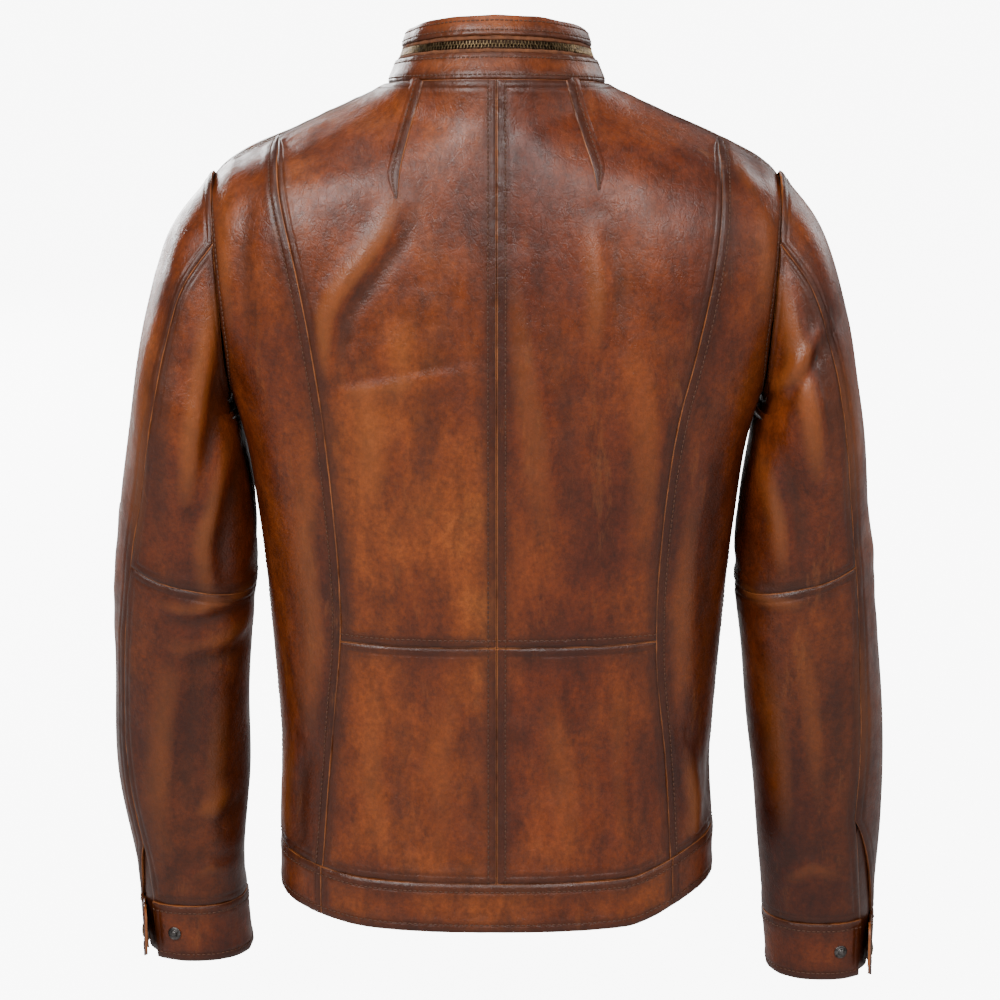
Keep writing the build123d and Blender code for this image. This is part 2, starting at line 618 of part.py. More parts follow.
for side, sign in SIDES:
    block = {depth: sleeve_block(side, depth)
             for depth in (CUFF_PROUD, 0, LEATHER, *SLEEVE_LINING)}
    seam_origin = Vector(243, 8, ARMPIT)
    seam_plane = Plane(seam_origin, x_dir=seam_line, z_dir=seam_line.cross(sleeve_fall))
    middle_z = (CUFF_SEAM[side] + CUFF_EDGE[side]) / 2
    tab_root, cuff_middle = cuff_point(side, TAB_ROOT_TURN, middle_z, 0.8)
    slit_back = cuff_point(side, SLIT_BACK_TURN, middle_z, 0.8)[0]

    def stretch(outer, inner, high, low):
        """A layer of the sleeve between two heights."""
        with BuildPart() as layer:
            add(block[outer])
            add(block[inner], mode=Mode.SUBTRACT)
            split(bisect_by=Plane.XY.offset(high), keep=Keep.BOTTOM)
            split(bisect_by=Plane.XY.offset(low), keep=Keep.TOP)
        return layer.part

    with BuildPart() as head:
        add(head_block(0))
        add(head_block(LEATHER), mode=Mode.SUBTRACT)
        if side == "right":
            mirror(about=Plane.YZ, mode=Mode.REPLACE)
    save(head, f"sleeve_head_{side}")

    stretches = {
        "upper_sleeve": (ARMPIT - JOINT_GAP, ELBOW),
        "forearm": (ELBOW - JOINT_GAP, CUFF_SEAM[side] + SEAM),
    }
    for name, (high, low) in stretches.items():
        for half, shift, keep in (("top", SEAM, Keep.TOP), ("under", -SEAM, Keep.BOTTOM)):
            with BuildPart() as leather:
                add(stretch(0, LEATHER, high, low))
                split(bisect_by=seam_plane.offset(shift), keep=keep)
                if name == "forearm":
                    with BuildSketch(Plane(cuff_middle, x_dir=seam_line, z_dir=(0, 0, 1))):
                        with Locations((FAR / 2, 0)):
                            Rectangle(FAR, 2 * SLIT_HALF_WIDTH)
                    extrude(amount=SLIT_TOP[side] - middle_z, mode=Mode.SUBTRACT)
                if side == "right":
                    mirror(about=Plane.YZ, mode=Mode.REPLACE)
            save(leather, f"{name}_{half}_{side}")
        with BuildPart() as sleeve_lining:
            add(stretch(*SLEEVE_LINING, high, low))
            if name == "forearm":
                with BuildSketch(Plane(cuff_middle, x_dir=seam_line, z_dir=(0, 0, 1))):
                    with Locations((FAR / 2, 0)):
                        Rectangle(FAR, 2 * SLIT_HALF_WIDTH + 2)
                extrude(amount=SLIT_TOP[side] - middle_z + 2, mode=Mode.SUBTRACT)
            if side == "right":
                mirror(about=Plane.YZ, mode=Mode.REPLACE)
        save(sleeve_lining, f"{name}_lining_{side}")

    with BuildPart() as cuff:
        add(stretch(CUFF_PROUD, LEATHER, CUFF_SEAM[side] - SEAM, CUFF_EDGE[side]))
        with BuildSketch(Plane.XY.offset(CUFF_EDGE[side] - 5)):
            with BuildLine():
                Polyline((cuff_middle.X, cuff_middle.Y),
                         (3 * tab_root.X - 2 * cuff_middle.X, 3 * tab_root.Y - 2 * cuff_middle.Y),
                         (3 * slit_back.X - 2 * cuff_middle.X, 3 * slit_back.Y - 2 * cuff_middle.Y),
                         close=True)
            make_face()
        extrude(amount=60, mode=Mode.SUBTRACT)
        if side == "right":
            mirror(about=Plane.YZ, mode=Mode.REPLACE)
    save(cuff, f"cuff_{side}")

    cuff_height = CUFF_SEAM[side] - CUFF_EDGE[side]
    tab_direction = Vector(1, 0, 0).rotate(Axis.Z, CUFF_TAB_TURN)
    tab_face = Plane(tab_root + tab_direction * 0.5, x_dir=tab_direction,
                     z_dir=tab_direction.cross(Vector(0, 0, 1)))
    with BuildPart() as cuff_tab:
        with BuildSketch(tab_face.offset(-2)) as outline:
            with Locations((CUFF_TAB_LENGTH / 2, 0)):
                Rectangle(CUFF_TAB_LENGTH, cuff_height - 6)
            fillet(outline.vertices().group_by(Axis.X)[-1], 12)
        extrude(amount=2)
        if side == "right":
            mirror(about=Plane.YZ, mode=Mode.REPLACE)
    save(cuff_tab, f"cuff_tab_{side}")

    with BuildPart() as cap:
        cap_face = Plane(tab_face.origin + tab_direction * (CUFF_TAB_LENGTH - 11),
                         x_dir=tab_direction, z_dir=tab_face.z_dir)
        with BuildSketch(cap_face.offset(0.05)):
            Circle(SNAP_RADIUS)
        extrude(amount=1.8)
        if side == "right":
            mirror(about=Plane.YZ, mode=Mode.REPLACE)
    save(cap, f"cuff_snap_cap_{side}")

    stud_foot = cuff_point(side, STUD_TURN, middle_z, 0.95)[0]
    stud_side = cuff_point(side, STUD_TURN - 4, middle_z)[0] - cuff_point(
        side, STUD_TURN + 4, middle_z)[0]
    stud_face = Plane(stud_foot, x_dir=stud_side, z_dir=Vector(0, 0, 1).cross(stud_side))
    with BuildPart() as stud:
        with BuildSketch(stud_face):
            Circle(SNAP_RADIUS)
        extrude(amount=0.9)
        with BuildSketch(stud_face.offset(0.9)):
            Circle(2.6)
        extrude(amount=1.8)
        if side == "right":
            mirror(about=Plane.YZ, mode=Mode.REPLACE)
    save(stud, f"cuff_snap_stud_{side}")
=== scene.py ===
import math

import bpy
import numpy as np
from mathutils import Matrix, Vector


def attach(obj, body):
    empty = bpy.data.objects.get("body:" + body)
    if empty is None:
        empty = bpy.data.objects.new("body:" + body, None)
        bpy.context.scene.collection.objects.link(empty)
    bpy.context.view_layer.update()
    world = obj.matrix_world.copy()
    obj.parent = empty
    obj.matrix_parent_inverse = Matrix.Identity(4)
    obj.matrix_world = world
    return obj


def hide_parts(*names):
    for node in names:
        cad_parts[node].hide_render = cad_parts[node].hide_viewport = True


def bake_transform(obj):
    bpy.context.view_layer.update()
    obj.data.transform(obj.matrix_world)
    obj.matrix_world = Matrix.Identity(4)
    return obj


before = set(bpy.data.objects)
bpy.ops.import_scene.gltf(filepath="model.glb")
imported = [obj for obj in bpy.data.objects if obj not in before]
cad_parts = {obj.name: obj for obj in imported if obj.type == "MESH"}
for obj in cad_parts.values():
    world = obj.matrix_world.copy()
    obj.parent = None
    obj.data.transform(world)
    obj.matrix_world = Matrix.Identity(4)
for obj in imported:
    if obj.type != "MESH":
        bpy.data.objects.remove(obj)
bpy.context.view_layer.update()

# A leather riding jacket, seen from behind. Lengths in the tables are millimetres in the
# frame of the CAD model: the wearer faces -Y, the wearer's left is +X, and the origin is the
# centre of the neck opening. Meshes are made in millimetres and scaled to metres at the end.
MM = 0.001
HEM = -648
BAND_TOP = -609
ARMPIT = -262
ELBOW = -385
SPLIT = -330                 # plain level between the shoulder's bend and the elbow's
LEATHER = 1.7
COLLAR_LEAN = math.radians(11.1)
COLLAR_BASE, COLLAR_TOP, COLLAR_HEIGHT = 83, 66, 46
COLLAR_SLOPE = math.atan2(COLLAR_BASE - COLLAR_TOP, COLLAR_HEIGHT)
COLLAR_AXIS = np.array((0, -math.sin(COLLAR_LEAN), math.cos(COLLAR_LEAN)))
COLLAR_BACK = np.array((0, math.cos(COLLAR_LEAN), math.sin(COLLAR_LEAN)))
COLLAR_ZIP = 26.5
FRONT_SLOPE = 0.06
ZIP_GAP = 6.5
POCKET_X, POCKET_LOW, POCKET_HIGH = 92, -570, -430
CHAIN_DEPTH = 3.0
CUFF_SEAM = {"left": -661, "right": -677}
CUFF_EDGE = {"left": -710, "right": -727}
SLIT_TOP = {"left": -612, "right": -588}
SIDES = (("left", 1), ("right", -1))
FORWARD = np.array((0, -1, 0))

# Height, half width, back and roundness of the torso.
TORSO = np.array([
    (-670, 172, 116.5, 2.5), (-612, 172, 112.5, 2.5), (-555, 169.5, 107.5, 2.5),
    (-498, 172, 104, 2.5), (-441, 176, 103, 2.5), (-384, 180.5, 107, 2.6),
    (-328, 186.5, 112.5, 2.7), (-273, 194.5, 116.5, 2.8), (-220, 209, 118, 2.9),
    (-170, 224, 117, 3.0), (-125, 228.5, 114, 3.0), (-88, 225, 107.5, 2.8),
    (-58, 202, 100.5, 2.5), (-34, 154, 93.5, 2.0), (-14, 113, 88, 1.6), (4, 82, 82.5, 1.85),
    (22, 70, 78, 2.0)])
# Rows of each sleeve: outer x and z, inner x and z, half depth, middle of the depth.
SLEEVE_HEAD = [(218.0, -66, 204.6, -238, 61, 12), (247, -106, 206.5, -244, 69, 12),
               (268.5, -168, 204.5, -252, 72, 12), (285, -262, 199, -262, 72, 12)]
SLEEVE = {
    "left": [(-320, 190, 293.5), (-385, 189, 301.5), (-460, 195.5, 303), (-550, 198, 303.5),
             (-650, 203, 289), (-715, 199, 285)],
    "right": [(-320, 190, 290.5), (-385, 188, 296.5), (-460, 193.5, 304), (-550, 204, 311),
              (-650, 213, 306), (-732, 221, 304)],
}
# Seam between centre back and side back: x and z.
SIDE_BACK = {
    "left": [(167, 20), (164, -68), (151, -125), (136, -209), (125, -313), (121, -416),
             (126, -474), (136, -597), (141, -660)],
    "right": [(166, 20), (168, -96), (162, -136), (149, -197), (139.5, -236), (127.5, -322),
              (124, -440), (131, -514), (137, -631), (138, -660)],
}
# Where the outer seam of each sleeve runs, in degrees round it from the outside to the back.
BACK_SEAM_TURN = {"left": [(-66, 64), (-240, 60), (-385, 44), (-500, 36), (-580, 42), (-720, 52)],
                  "right": [(-66, 64), (-240, 58), (-385, 47), (-500, 54), (-580, 61), (-720, 62)]}
FRONT_SEAM_TURN = 222


# ---- curves ---------------------------------------------------------------------------------
def smooth(table, where, column):
    """Smooth curve through a table's column, read at the heights given (Catmull-Rom)."""
    table = np.asarray(table, float)
    table = table[np.argsort(table[:, 0])]
    x, y = table[:, 0], table[:, column]
    slope = np.gradient(y, x)
    where = np.clip(where, x[0], x[-1])
    k = np.clip(np.searchsorted(x, where) - 1, 0, len(x) - 2)
    step = x[k + 1] - x[k]
    t = (where - x[k]) / step
    return ((2 * t**3 - 3 * t**2 + 1) * y[k] + (t**3 - 2 * t**2 + t) * slope[k] * step
            + (3 * t**2 - 2 * t**3) * y[k + 1] + (t**3 - t**2) * slope[k + 1] * step)


def lengths_along(line):
    """Running length along a line to each of its points."""
    return np.concatenate([[0], np.cumsum(np.linalg.norm(np.diff(line, axis=0), axis=-1))])


def read_line(line, run, at):
    """Points of a line at some running lengths."""
    return np.column_stack([np.interp(at, run, line[:, k]) for k in range(3)])


def smooth_line(points, count=0, step=1.3):
    """Points along a smooth curve through a few points: this many, or about one every step."""
    points = np.array(points, float)
    run = lengths_along(points)
    at = np.linspace(0, run[-1], count or max(int(run[-1] / step), 3))
    return np.column_stack([smooth(np.column_stack([run, points]), at, k) for k in (1, 2)])


def unit(vectors):
    return vectors / np.maximum(np.linalg.norm(vectors, axis=-1, keepdims=True), 1e-9)


def ease(share):
    """From 0 to 1 with a soft start and end."""
    return share**2 * (3 - 2 * share)


def signed_power(value, power):
    return np.sign(value) * np.abs(value) ** power


def torso_point(turn, z):
    """A point of the torso: turn is 0 at the wearer's left, 90 degrees at the back."""
    half, back, power = (smooth(TORSO, z, k) for k in (1, 2, 3))
    front = FRONT_SLOPE * z - COLLAR_BASE
    x = half * signed_power(np.cos(turn), 2 / power)
    y = (back + front) / 2 + (back - front) / 2 * signed_power(np.sin(turn), 2 / power)
    return np.stack([x, y, z + 0 * x], -1)


def turn_at_x(x, z, face):
    """The turn at which the torso has this x, on its back (face 1) or front (face -1)."""
    half, power = smooth(TORSO, z, 1), smooth(TORSO, z, 3)
    return face * np.arccos(np.clip(signed_power(x / half, power / 2), -1, 1))


# The collar is tallest at the nape and lowest at the sides: degrees from the nape, share.
COLLAR_RISE = [(0, 1.10), (30, 1.07), (60, 0.99), (90, 0.91), (115, 0.93), (145, 1.0), (200, 1.0)]


def collar_point(turn, climb, depth=0.0):
    """A point on the collar: turn from the wearer's left, way up its slope, depth under it."""
    from_nape = np.degrees(np.abs(turn - math.pi / 2))
    climb = climb * smooth(COLLAR_RISE, from_nape, 1)
    radius = COLLAR_BASE - climb * np.sin(COLLAR_SLOPE) - depth * np.cos(COLLAR_SLOPE)
    level = climb * np.cos(COLLAR_SLOPE) - depth * np.sin(COLLAR_SLOPE)
    x, y = radius * np.cos(turn), radius * np.sin(turn)
    return (np.stack([x + 0 * level, 0 * x, 0 * x], -1) + y[..., None] * COLLAR_BACK
            + level[..., None] * COLLAR_AXIS)


def sleeve_table(side):
    """Rows of a sleeve with a running length down its outside in the first column."""
    rows = list(SLEEVE_HEAD)
    for z, inner, outer in SLEEVE[side]:
        down = (ARMPIT - z) / (ARMPIT + 715)
        rows.append((outer, z, inner, z, 72 - 30 * max(down, 0) ** 0.6, 12 - 38 * down))
    rows = np.array(rows, float)
    return np.column_stack([lengths_along(rows[:, :2]), rows])


def sleeve_point(table, turn, run, sign):
    """A point of a sleeve: turn 0 outside, 90 degrees back, 180 inside."""
    outer_x, outer_z, inner_x, inner_z, depth, middle = (smooth(table, run, k)
                                                         for k in range(1, 7))
    across = signed_power(np.cos(turn), 2 / 2.2)
    along = signed_power(np.sin(turn), 2 / 2.2)
    x = (outer_x + inner_x) / 2 + (outer_x - inner_x) / 2 * across
    z = (outer_z + inner_z) / 2 + (outer_z - inner_z) / 2 * across
    return np.stack([sign * x, middle + depth * along, z], -1)


# ---- relief of worn leather --------------------------------------------------------------------
# Folds as they lie on the back: points (x, z), width, height; a fold has a hollow on its lower
# or outer side.
BACK_FOLDS = [
    ([(74, -70), (84, -95), (104, -122), (120, -142), (128, -160), (132, -205)], 9, 3.4),
    ([(62, -150), (72, -185), (78, -225), (80, -300)], 15, 1.6),
    ([(104, -190), (98, -240), (97, -310)], 13, 1.3),
    ([(138, -222), (96, -214), (50, -205), (10, -198)], 6, 0.9),
    ([(-8, -120), (-18, -180), (-30, -250), (-36, -330)], 15, 1.5),
    ([(-70, -95), (-76, -135), (-74, -180)], 10, 1.9),
    ([(-172, -44), (-186, -58), (-194, -72)], 6, 1.3),
    ([(-96, -170), (-112, -215), (-116, -290), (-110, -360)], 16, 1.4),
    ([(140, -260), (146, -340), (140, -420), (146, -500)], 13, 1.7),
    ([(162, -520), (168, -560), (166, -600)], 8, 2.2),
    ([(-150, -250), (-146, -330), (-144, -420), (-146, -480)], 13, 1.6),
    ([(-150, -520), (-156, -560), (-153, -602)], 8, 2.0),
    ([(30, -440), (44, -520), (40, -590)], 16, 1.0),
    ([(-40, -450), (-52, -520), (-60, -590)], 17, 1.0),
    ([(-96, -440), (-92, -520), (-100, -596)], 12, 1.1),
    ([(92, -450), (96, -530), (88, -598)], 13, 1.1),
    ([(200, -70), (206, -120), (204, -180)], 10, 1.6),
    ([(-200, -74), (-205, -120), (-203, -170)], 10, 1.4),
]
FRONT_FOLDS = [
    ([(40, -120), (58, -220), (52, -330)], 18, 1.6),
    ([(-44, -110), (-60, -210), (-54, -340)], 18, 1.6),
    ([(150, -210), (120, -250), (84, -262)], 10, 1.8),
    ([(-150, -214), (-118, -250), (-80, -266)], 10, 1.8),
    ([(130, -330), (136, -420), (128, -520)], 15, 1.5),
    ([(-130, -330), (-134, -420), (-128, -530)], 15, 1.5),
    ([(60, -380), (66, -480), (58, -590)], 14, 1.0),
    ([(-58, -380), (-64, -480), (-60, -590)], 14, 1.0),
]
SLEEVE_FOLDS = {
    "left": [
        ([(214, -150), (222, -205), (232, -262), (238, -310)], 9, 3.2),
        ([(206, -262), (216, -300), (226, -350), (224, -392)], 9, 2.4),
        ([(190, -392), (212, -400), (240, -404), (262, -398)], 7, 1.8),
        ([(192, -420), (214, -432), (244, -436)], 9, 1.5),
        ([(262, -150), (270, -220), (276, -300), (280, -360)], 11, 1.7),
        ([(250, -430), (262, -500), (268, -570), (262, -620)], 14, 1.5),
        ([(216, -470), (222, -540), (226, -610)], 13, 1.3),
        ([(204, -560), (226, -576), (250, -580)], 9, 1.0),
        ([(250, -640), (232, -628), (212, -632)], 7, 1.2),
    ],
    "right": [
        ([(-216, -140), (-228, -190), (-240, -240), (-246, -290)], 9, 3.2),
        ([(-247, -172), (-232, -198), (-214, -224)], 6, 2.6),
        ([(-206, -280), (-218, -330), (-222, -372)], 9, 2.2),
        ([(-190, -392), (-214, -398), (-244, -396)], 7, 1.7),
        ([(-262, -190), (-272, -260), (-276, -330)], 12, 1.6),
        ([(-236, -420), (-246, -500), (-252, -580)], 15, 1.5),
        ([(-212, -440), (-222, -520), (-230, -600)], 11, 1.3),
        ([(-282, -420), (-290, -500), (-290, -570)], 12, 1.2),
        ([(-230, -640), (-252, -626), (-276, -634)], 8, 1.2),
    ],
}


def fold_relief(points, folds):
    """Height of the folds at the points: a soft ridge with a hollow beside it."""
    flat = points[..., [0, 2]]
    height = np.zeros(flat.shape[:-1])
    for path, width, rise in folds:
        path = np.array(path, float)
        lengths = np.hypot(*np.diff(path, axis=0).T)
        start = np.concatenate([[0], np.cumsum(lengths)])
        best = np.full(height.shape, 1e9)
        beside = np.zeros(height.shape)
        place = np.zeros(height.shape)
        for k in range(len(path) - 1):
            way = (path[k + 1] - path[k]) / lengths[k]
            offset = flat - path[k]
            along = np.clip(offset @ way, 0, lengths[k])
            away = offset - along[..., None] * way
            distance = np.hypot(away[..., 0], away[..., 1])
            side = offset[..., 0] * way[1] - offset[..., 1] * way[0]
            closer = distance < best
            best = np.where(closer, distance, best)
            beside = np.where(closer, np.sign(side) * distance, beside)
            place = np.where(closer, (start[k] + along) / start[-1], place)
        taper = np.clip(np.sin(np.pi * np.clip(place * 0.86 + 0.07, 0, 1)), 0, 1) ** 0.7
        ridge = np.exp(-(beside / width) ** 2)
        hollow = np.exp(-((beside - 1.5 * width) / (0.8 * width)) ** 2)
        far = np.exp(-(np.maximum(best - 3 * width, 0) / width) ** 2)
        height += 1.35 * rise * taper * far * (ridge - 0.8 * hollow)
    return height


def waves(points, seed, length=70.0, count=14):
    """Slow uneven swelling, the same on both sides of a seam."""
    random = np.random.default_rng(seed)
    total = np.zeros(points.shape[:-1])
    for _ in range(count):
        way = random.normal(size=3) * np.array([1.3, 1.3, 0.55])
        way *= 2 * np.pi / (length * random.uniform(0.5, 1.6) * np.linalg.norm(way))
        total += np.sin(points @ way + random.uniform(0, 6.28))
    return total / math.sqrt(count)


# ---- meshes -------------------------------------------------------------------------------------
def grid_normals(points, outward):
    """Unit normals of a grid, turned to the same side as the outward directions."""
    normal = unit(np.cross(np.gradient(points, axis=1), np.gradient(points, axis=0)))
    return normal if (normal * outward).sum() > 0 else -normal


def edge_distance(points, edges="lrtb"):
    """Distance over the surface to the nearest sewn edge of a grid."""
    right = np.linalg.norm(np.diff(points, axis=1), axis=-1)
    down = np.linalg.norm(np.diff(points, axis=0), axis=-1)
    rows, columns = points.shape[:2]
    from_left = np.concatenate([np.zeros((rows, 1)), np.cumsum(right, 1)], 1)
    from_top = np.concatenate([np.zeros((1, columns)), np.cumsum(down, 0)], 0)
    ways = {"l": from_left, "r": from_left[:, -1:] - from_left,
            "t": from_top, "b": from_top[-1:] - from_top}
    result = np.full((rows, columns), 1e3)
    for edge in edges:
        result = np.minimum(result, ways[edge])
    return result


SEAM_INSET = 6.5                          # from a sewn edge to its row of stitches


def seam_relief(distance):
    """Turned edge, plump allowance and the dimple of a row of stitches."""
    edge = -1.1 * np.exp(-(distance / 1.5) ** 2)
    allowance = 0.6 * np.exp(-(np.maximum(distance - SEAM_INSET - 2, 0) / 3.0) ** 2)
    dimple = -0.55 * np.exp(-((distance - SEAM_INSET) / 1.1) ** 2)
    return edge + allowance + dimple


def new_object(name, vertices, faces, material, smooth_faces=True):
    """A mesh object from points in millimetres."""
    mesh = bpy.data.meshes.new(name)
    mesh.from_pydata((np.asarray(vertices) * MM).tolist(), [], [tuple(f) for f in faces])
    mesh.update()
    mesh.shade_smooth() if smooth_faces else mesh.shade_flat()
    mesh.materials.append(material)
    piece = bpy.data.objects.new(name, mesh)
    bpy.context.collection.objects.link(piece)
    return piece


def belong(piece, body, nodes):
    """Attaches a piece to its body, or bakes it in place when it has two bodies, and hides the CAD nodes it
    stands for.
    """
    if isinstance(body, str):
        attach(piece, body)
    else:
        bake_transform(piece)
    if nodes:
        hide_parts(*nodes)


def shell(name, points, normals, thickness, material, wear=None, keep=None, closed=False):
    """A closed skin: an outer grid, an inner grid and rims along every open edge."""
    rows, columns = points.shape[:2]
    wrap = columns if closed else columns - 1
    r, c = np.meshgrid(np.arange(rows - 1), np.arange(wrap), indexing="ij")
    nxt = (c + 1) % columns
    quads = np.stack([r * columns + c, r * columns + nxt, (r + 1) * columns + nxt,
                      (r + 1) * columns + c], -1).reshape(-1, 4)
    if keep is not None:
        quads = quads[keep[:-1, :wrap].ravel()]
    outer = points.reshape(-1, 3)
    inner = (points - normals * thickness).reshape(-1, 3)
    count = len(outer)
    middle = quads[len(quads) // 2]
    facing = np.cross(outer[middle[1]] - outer[middle[0]], outer[middle[3]] - outer[middle[0]])
    if facing @ normals.reshape(-1, 3)[middle[0]] < 0:
        quads = quads[:, ::-1]
    edges = np.concatenate([quads[:, [k, (k + 1) % 4]] for k in range(4)])
    key = np.sort(edges, 1)
    _, index, times = np.unique(key, axis=0, return_index=True, return_counts=True)
    border = edges[index[times == 1]]
    rims = np.column_stack([border[:, 1], border[:, 0], border[:, 0] + count, border[:, 1] + count])
    faces = np.concatenate([quads, quads[:, ::-1] + count, rims])
    vertices = np.concatenate([outer, inner])
    used = np.unique(faces)
    remap = np.zeros(len(vertices), int)
    remap[used] = np.arange(len(used))
    piece = new_object(name, vertices[used], remap[faces].tolist(), material)
    sharp = {tuple(pair) for pair in remap[np.sort(np.concatenate([border, border + count]), 1)]}
    for line in piece.data.edges:
        line.use_edge_sharp = tuple(sorted(line.vertices)) in sharp
    # edge carries the darkening beside the seams and the rubbed edges; crest carries the fold height, from
    # which the material paints highlight on ridges and shade in hollows
    edge, crest = wear if wear is not None else (np.zeros(count), np.zeros(count))
    for label, value in (("edge", edge), ("crest", crest)):
        value = np.concatenate([np.ravel(value), np.ravel(value)])
        layer = piece.data.attributes.new(label, "FLOAT", "POINT")
        layer.data.foreach_set("value", value[used].astype(np.float32))
    return piece


def polyline_inset(points, edge, inset):
    """A line over the grid at a distance from one of its edges."""
    grid = {"l": points, "r": points[:, ::-1], "t": points.transpose(1, 0, 2),
            "b": points[::-1].transpose(1, 0, 2)}[edge]
    step = np.linalg.norm(np.diff(grid, axis=1), axis=-1)
    run = np.concatenate([np.zeros((len(grid), 1)), np.cumsum(step, 1)], 1)
    return np.array([[np.interp(inset, run[row], grid[row, :, k]) for k in range(3)]
                     for row in range(len(grid)) if run[row, -1] > 2 * inset])


stitch_points, stitch_faces = {}, {}


STITCH_LIFT = 0.15


def sew(thread, line, normal_of, pitch=4.0, length=3.0, radius=0.52):
    """Adds a row of stitches along a line: each is a short rounded bar."""
    if len(line) < 3:
        return
    run = lengths_along(line)
    count = int(run[-1] / pitch)
    at = (np.arange(count) + 0.5) * run[-1] / max(count, 1)
    place = read_line(line, run, at)
    way = unit(read_line(line, run, at + 0.5) - read_line(line, run, at - 0.5))
    side = unit(np.cross(way, normal_of(place)))
    out = np.cross(side, way)
    points = []
    for along, size in ((-0.5, 0.35), (-0.36, 1), (0.36, 1), (0.5, 0.35)):
        for turn in np.arange(6) * np.pi / 3:
            points.append(place + way * along * length
                          + out * (STITCH_LIFT + size * radius * np.sin(turn))
                          + side * size * radius * 1.15 * np.cos(turn))
    points = np.stack(points, 1)
    base = sum(len(p) * 24 for p in stitch_points.setdefault(thread, []))
    faces = np.array([(ring + k, ring + (k + 1) % 6, ring + 6 + (k + 1) % 6, ring + 6 + k)
                      for ring in (0, 6, 12) for k in range(6)])
    stitch_points[thread].append(points)
    stitch_faces.setdefault(thread, []).append(
        (faces[None] + (base + 24 * np.arange(count))[:, None, None]).reshape(-1, 4))


def nearest_normals(points, normals):
    """Normals of a grid, read at the nearest of its points."""
    flat, ways = points.reshape(-1, 3), normals.reshape(-1, 3)

    def read(places):
        return np.array([ways[np.argmin(((flat - place) ** 2).sum(1))] for place in places])
    return read


def spread(length, near=(0, 0.6, 1.3, 2.2, 3.4, 4.6, 5.6, 6.5, 7.4, 8.6, 10.2, 12.2), step=4.0):
    """Shares of a length, close together near both ends where the seams are."""
    near = [n for n in near if n < length / 2 - 1]
    inside = np.linspace(near[-1], length - near[-1], max(int((length - 2 * near[-1]) / step), 2))
    places = np.concatenate([near[:-1], inside, length - np.array(near[:-1])[::-1]])
    return places / length


def on_surface(surface, normals, places):
    """Points and normals of a grid at the places (x, z)."""
    flat, ways = surface.reshape(-1, 3), normals.reshape(-1, 3)
    points, outs = [], []
    for x, z in places:
        away = (flat[:, 0] - x) ** 2 + (flat[:, 2] - z) ** 2
        near = np.argsort(away)[:6]
        weight = 1 / (away[near] + 0.3)
        weight /= weight.sum()
        p, n = flat[near], ways[near]
        y = p[:, 1] - (n[:, 0] * (x - p[:, 0]) + n[:, 2] * (z - p[:, 2])) / n[:, 1]
        points.append((x, weight @ y, z))
        out = weight @ n
        outs.append(out / np.linalg.norm(out))
    return np.array(points), np.array(outs)


# Across a dart: distance from its fold, height over the leather.
TUCK = [(-0.5, -0.7), (-0.3, 0.25), (0.1, 0.8), (0.8, 1.05), (1.8, 1.1), (3.2, 1.05), (4.6, 0.85),
        (5.6, 0.45), (6.4, 0.7), (7.4, 0.6), (8.8, 0.25), (10.2, -0.5)]


def tuck(name, surface, normals, path, material):
    """A dart: a fold of leather laid outwards and stitched down beside its edge."""
    line = smooth_line(path, 36)
    way = unit(np.gradient(line, axis=0))
    aside = np.column_stack([-way[:, 1], way[:, 0]])
    aside *= np.sign(aside[:1, :1]) * np.sign(path[0][0])
    from_tip = np.linspace(lengths_along(np.array(path, float))[-1], 0, len(line))
    narrow = np.clip(from_tip / 16, 0.12, 1) ** 0.6
    rows, outs = [], []
    for offset, height in TUCK:
        p, n = on_surface(surface, normals, line + aside * (offset * narrow)[:, None])
        rows.append(p + n * (height * narrow)[:, None])
        outs.append(n)
    grid, outs = np.array(rows), np.array(outs)
    wear = np.exp(-np.abs([offset for offset, _ in TUCK])[:, None] / 5.0) + 0 * grid[..., 0]
    piece = shell(name, grid, grid_normals(grid, outs), 0.5, material, (wear, 0 * wear))
    belong(piece, "jacket_body", ())
    sew("jacket_body", grid[7], nearest_normals(grid, outs))


def panel(name, points, outward, edges, material, folds, seed, stitched, wave=0.55, keep=None,
          lift=0.0, dart=None):
    """One leather panel: folds, swelling, seams, wear, painted highlight and shade on the folds, and
    stitches.
    """
    normals = grid_normals(points, outward)
    distance = edge_distance(points, edges)
    height = fold_relief(points, folds)
    fade = 1 - np.exp(-(distance / 9.0) ** 2)
    # crest keeps the fold height for the material: ridges get a painted highlight with rubbing, hollows a
    # painted shade
    crest = height * fade
    height = height * (0.35 + 0.65 * fade) + wave * waves(points, seed) * (0.3 + 0.7 * fade)
    height += 0.22 * waves(points, seed + 7, 13.0) * np.exp(-(distance / 10.0) ** 2)
    surface = points + normals * (lift + height + seam_relief(distance))[..., None]
    normals = grid_normals(surface, outward)
    piece = shell(name, surface, normals, LEATHER, material,
                  (np.exp(-distance / 7.0), np.clip(crest / 3.0, -1, 1)), keep)
    if dart:
        tuck(name.replace("leather_", "dart_"), surface, normals, dart, material)
    for edge in stitched:
        sew("jacket_body", polyline_inset(surface, edge, SEAM_INSET), nearest_normals(surface, normals))
    return piece


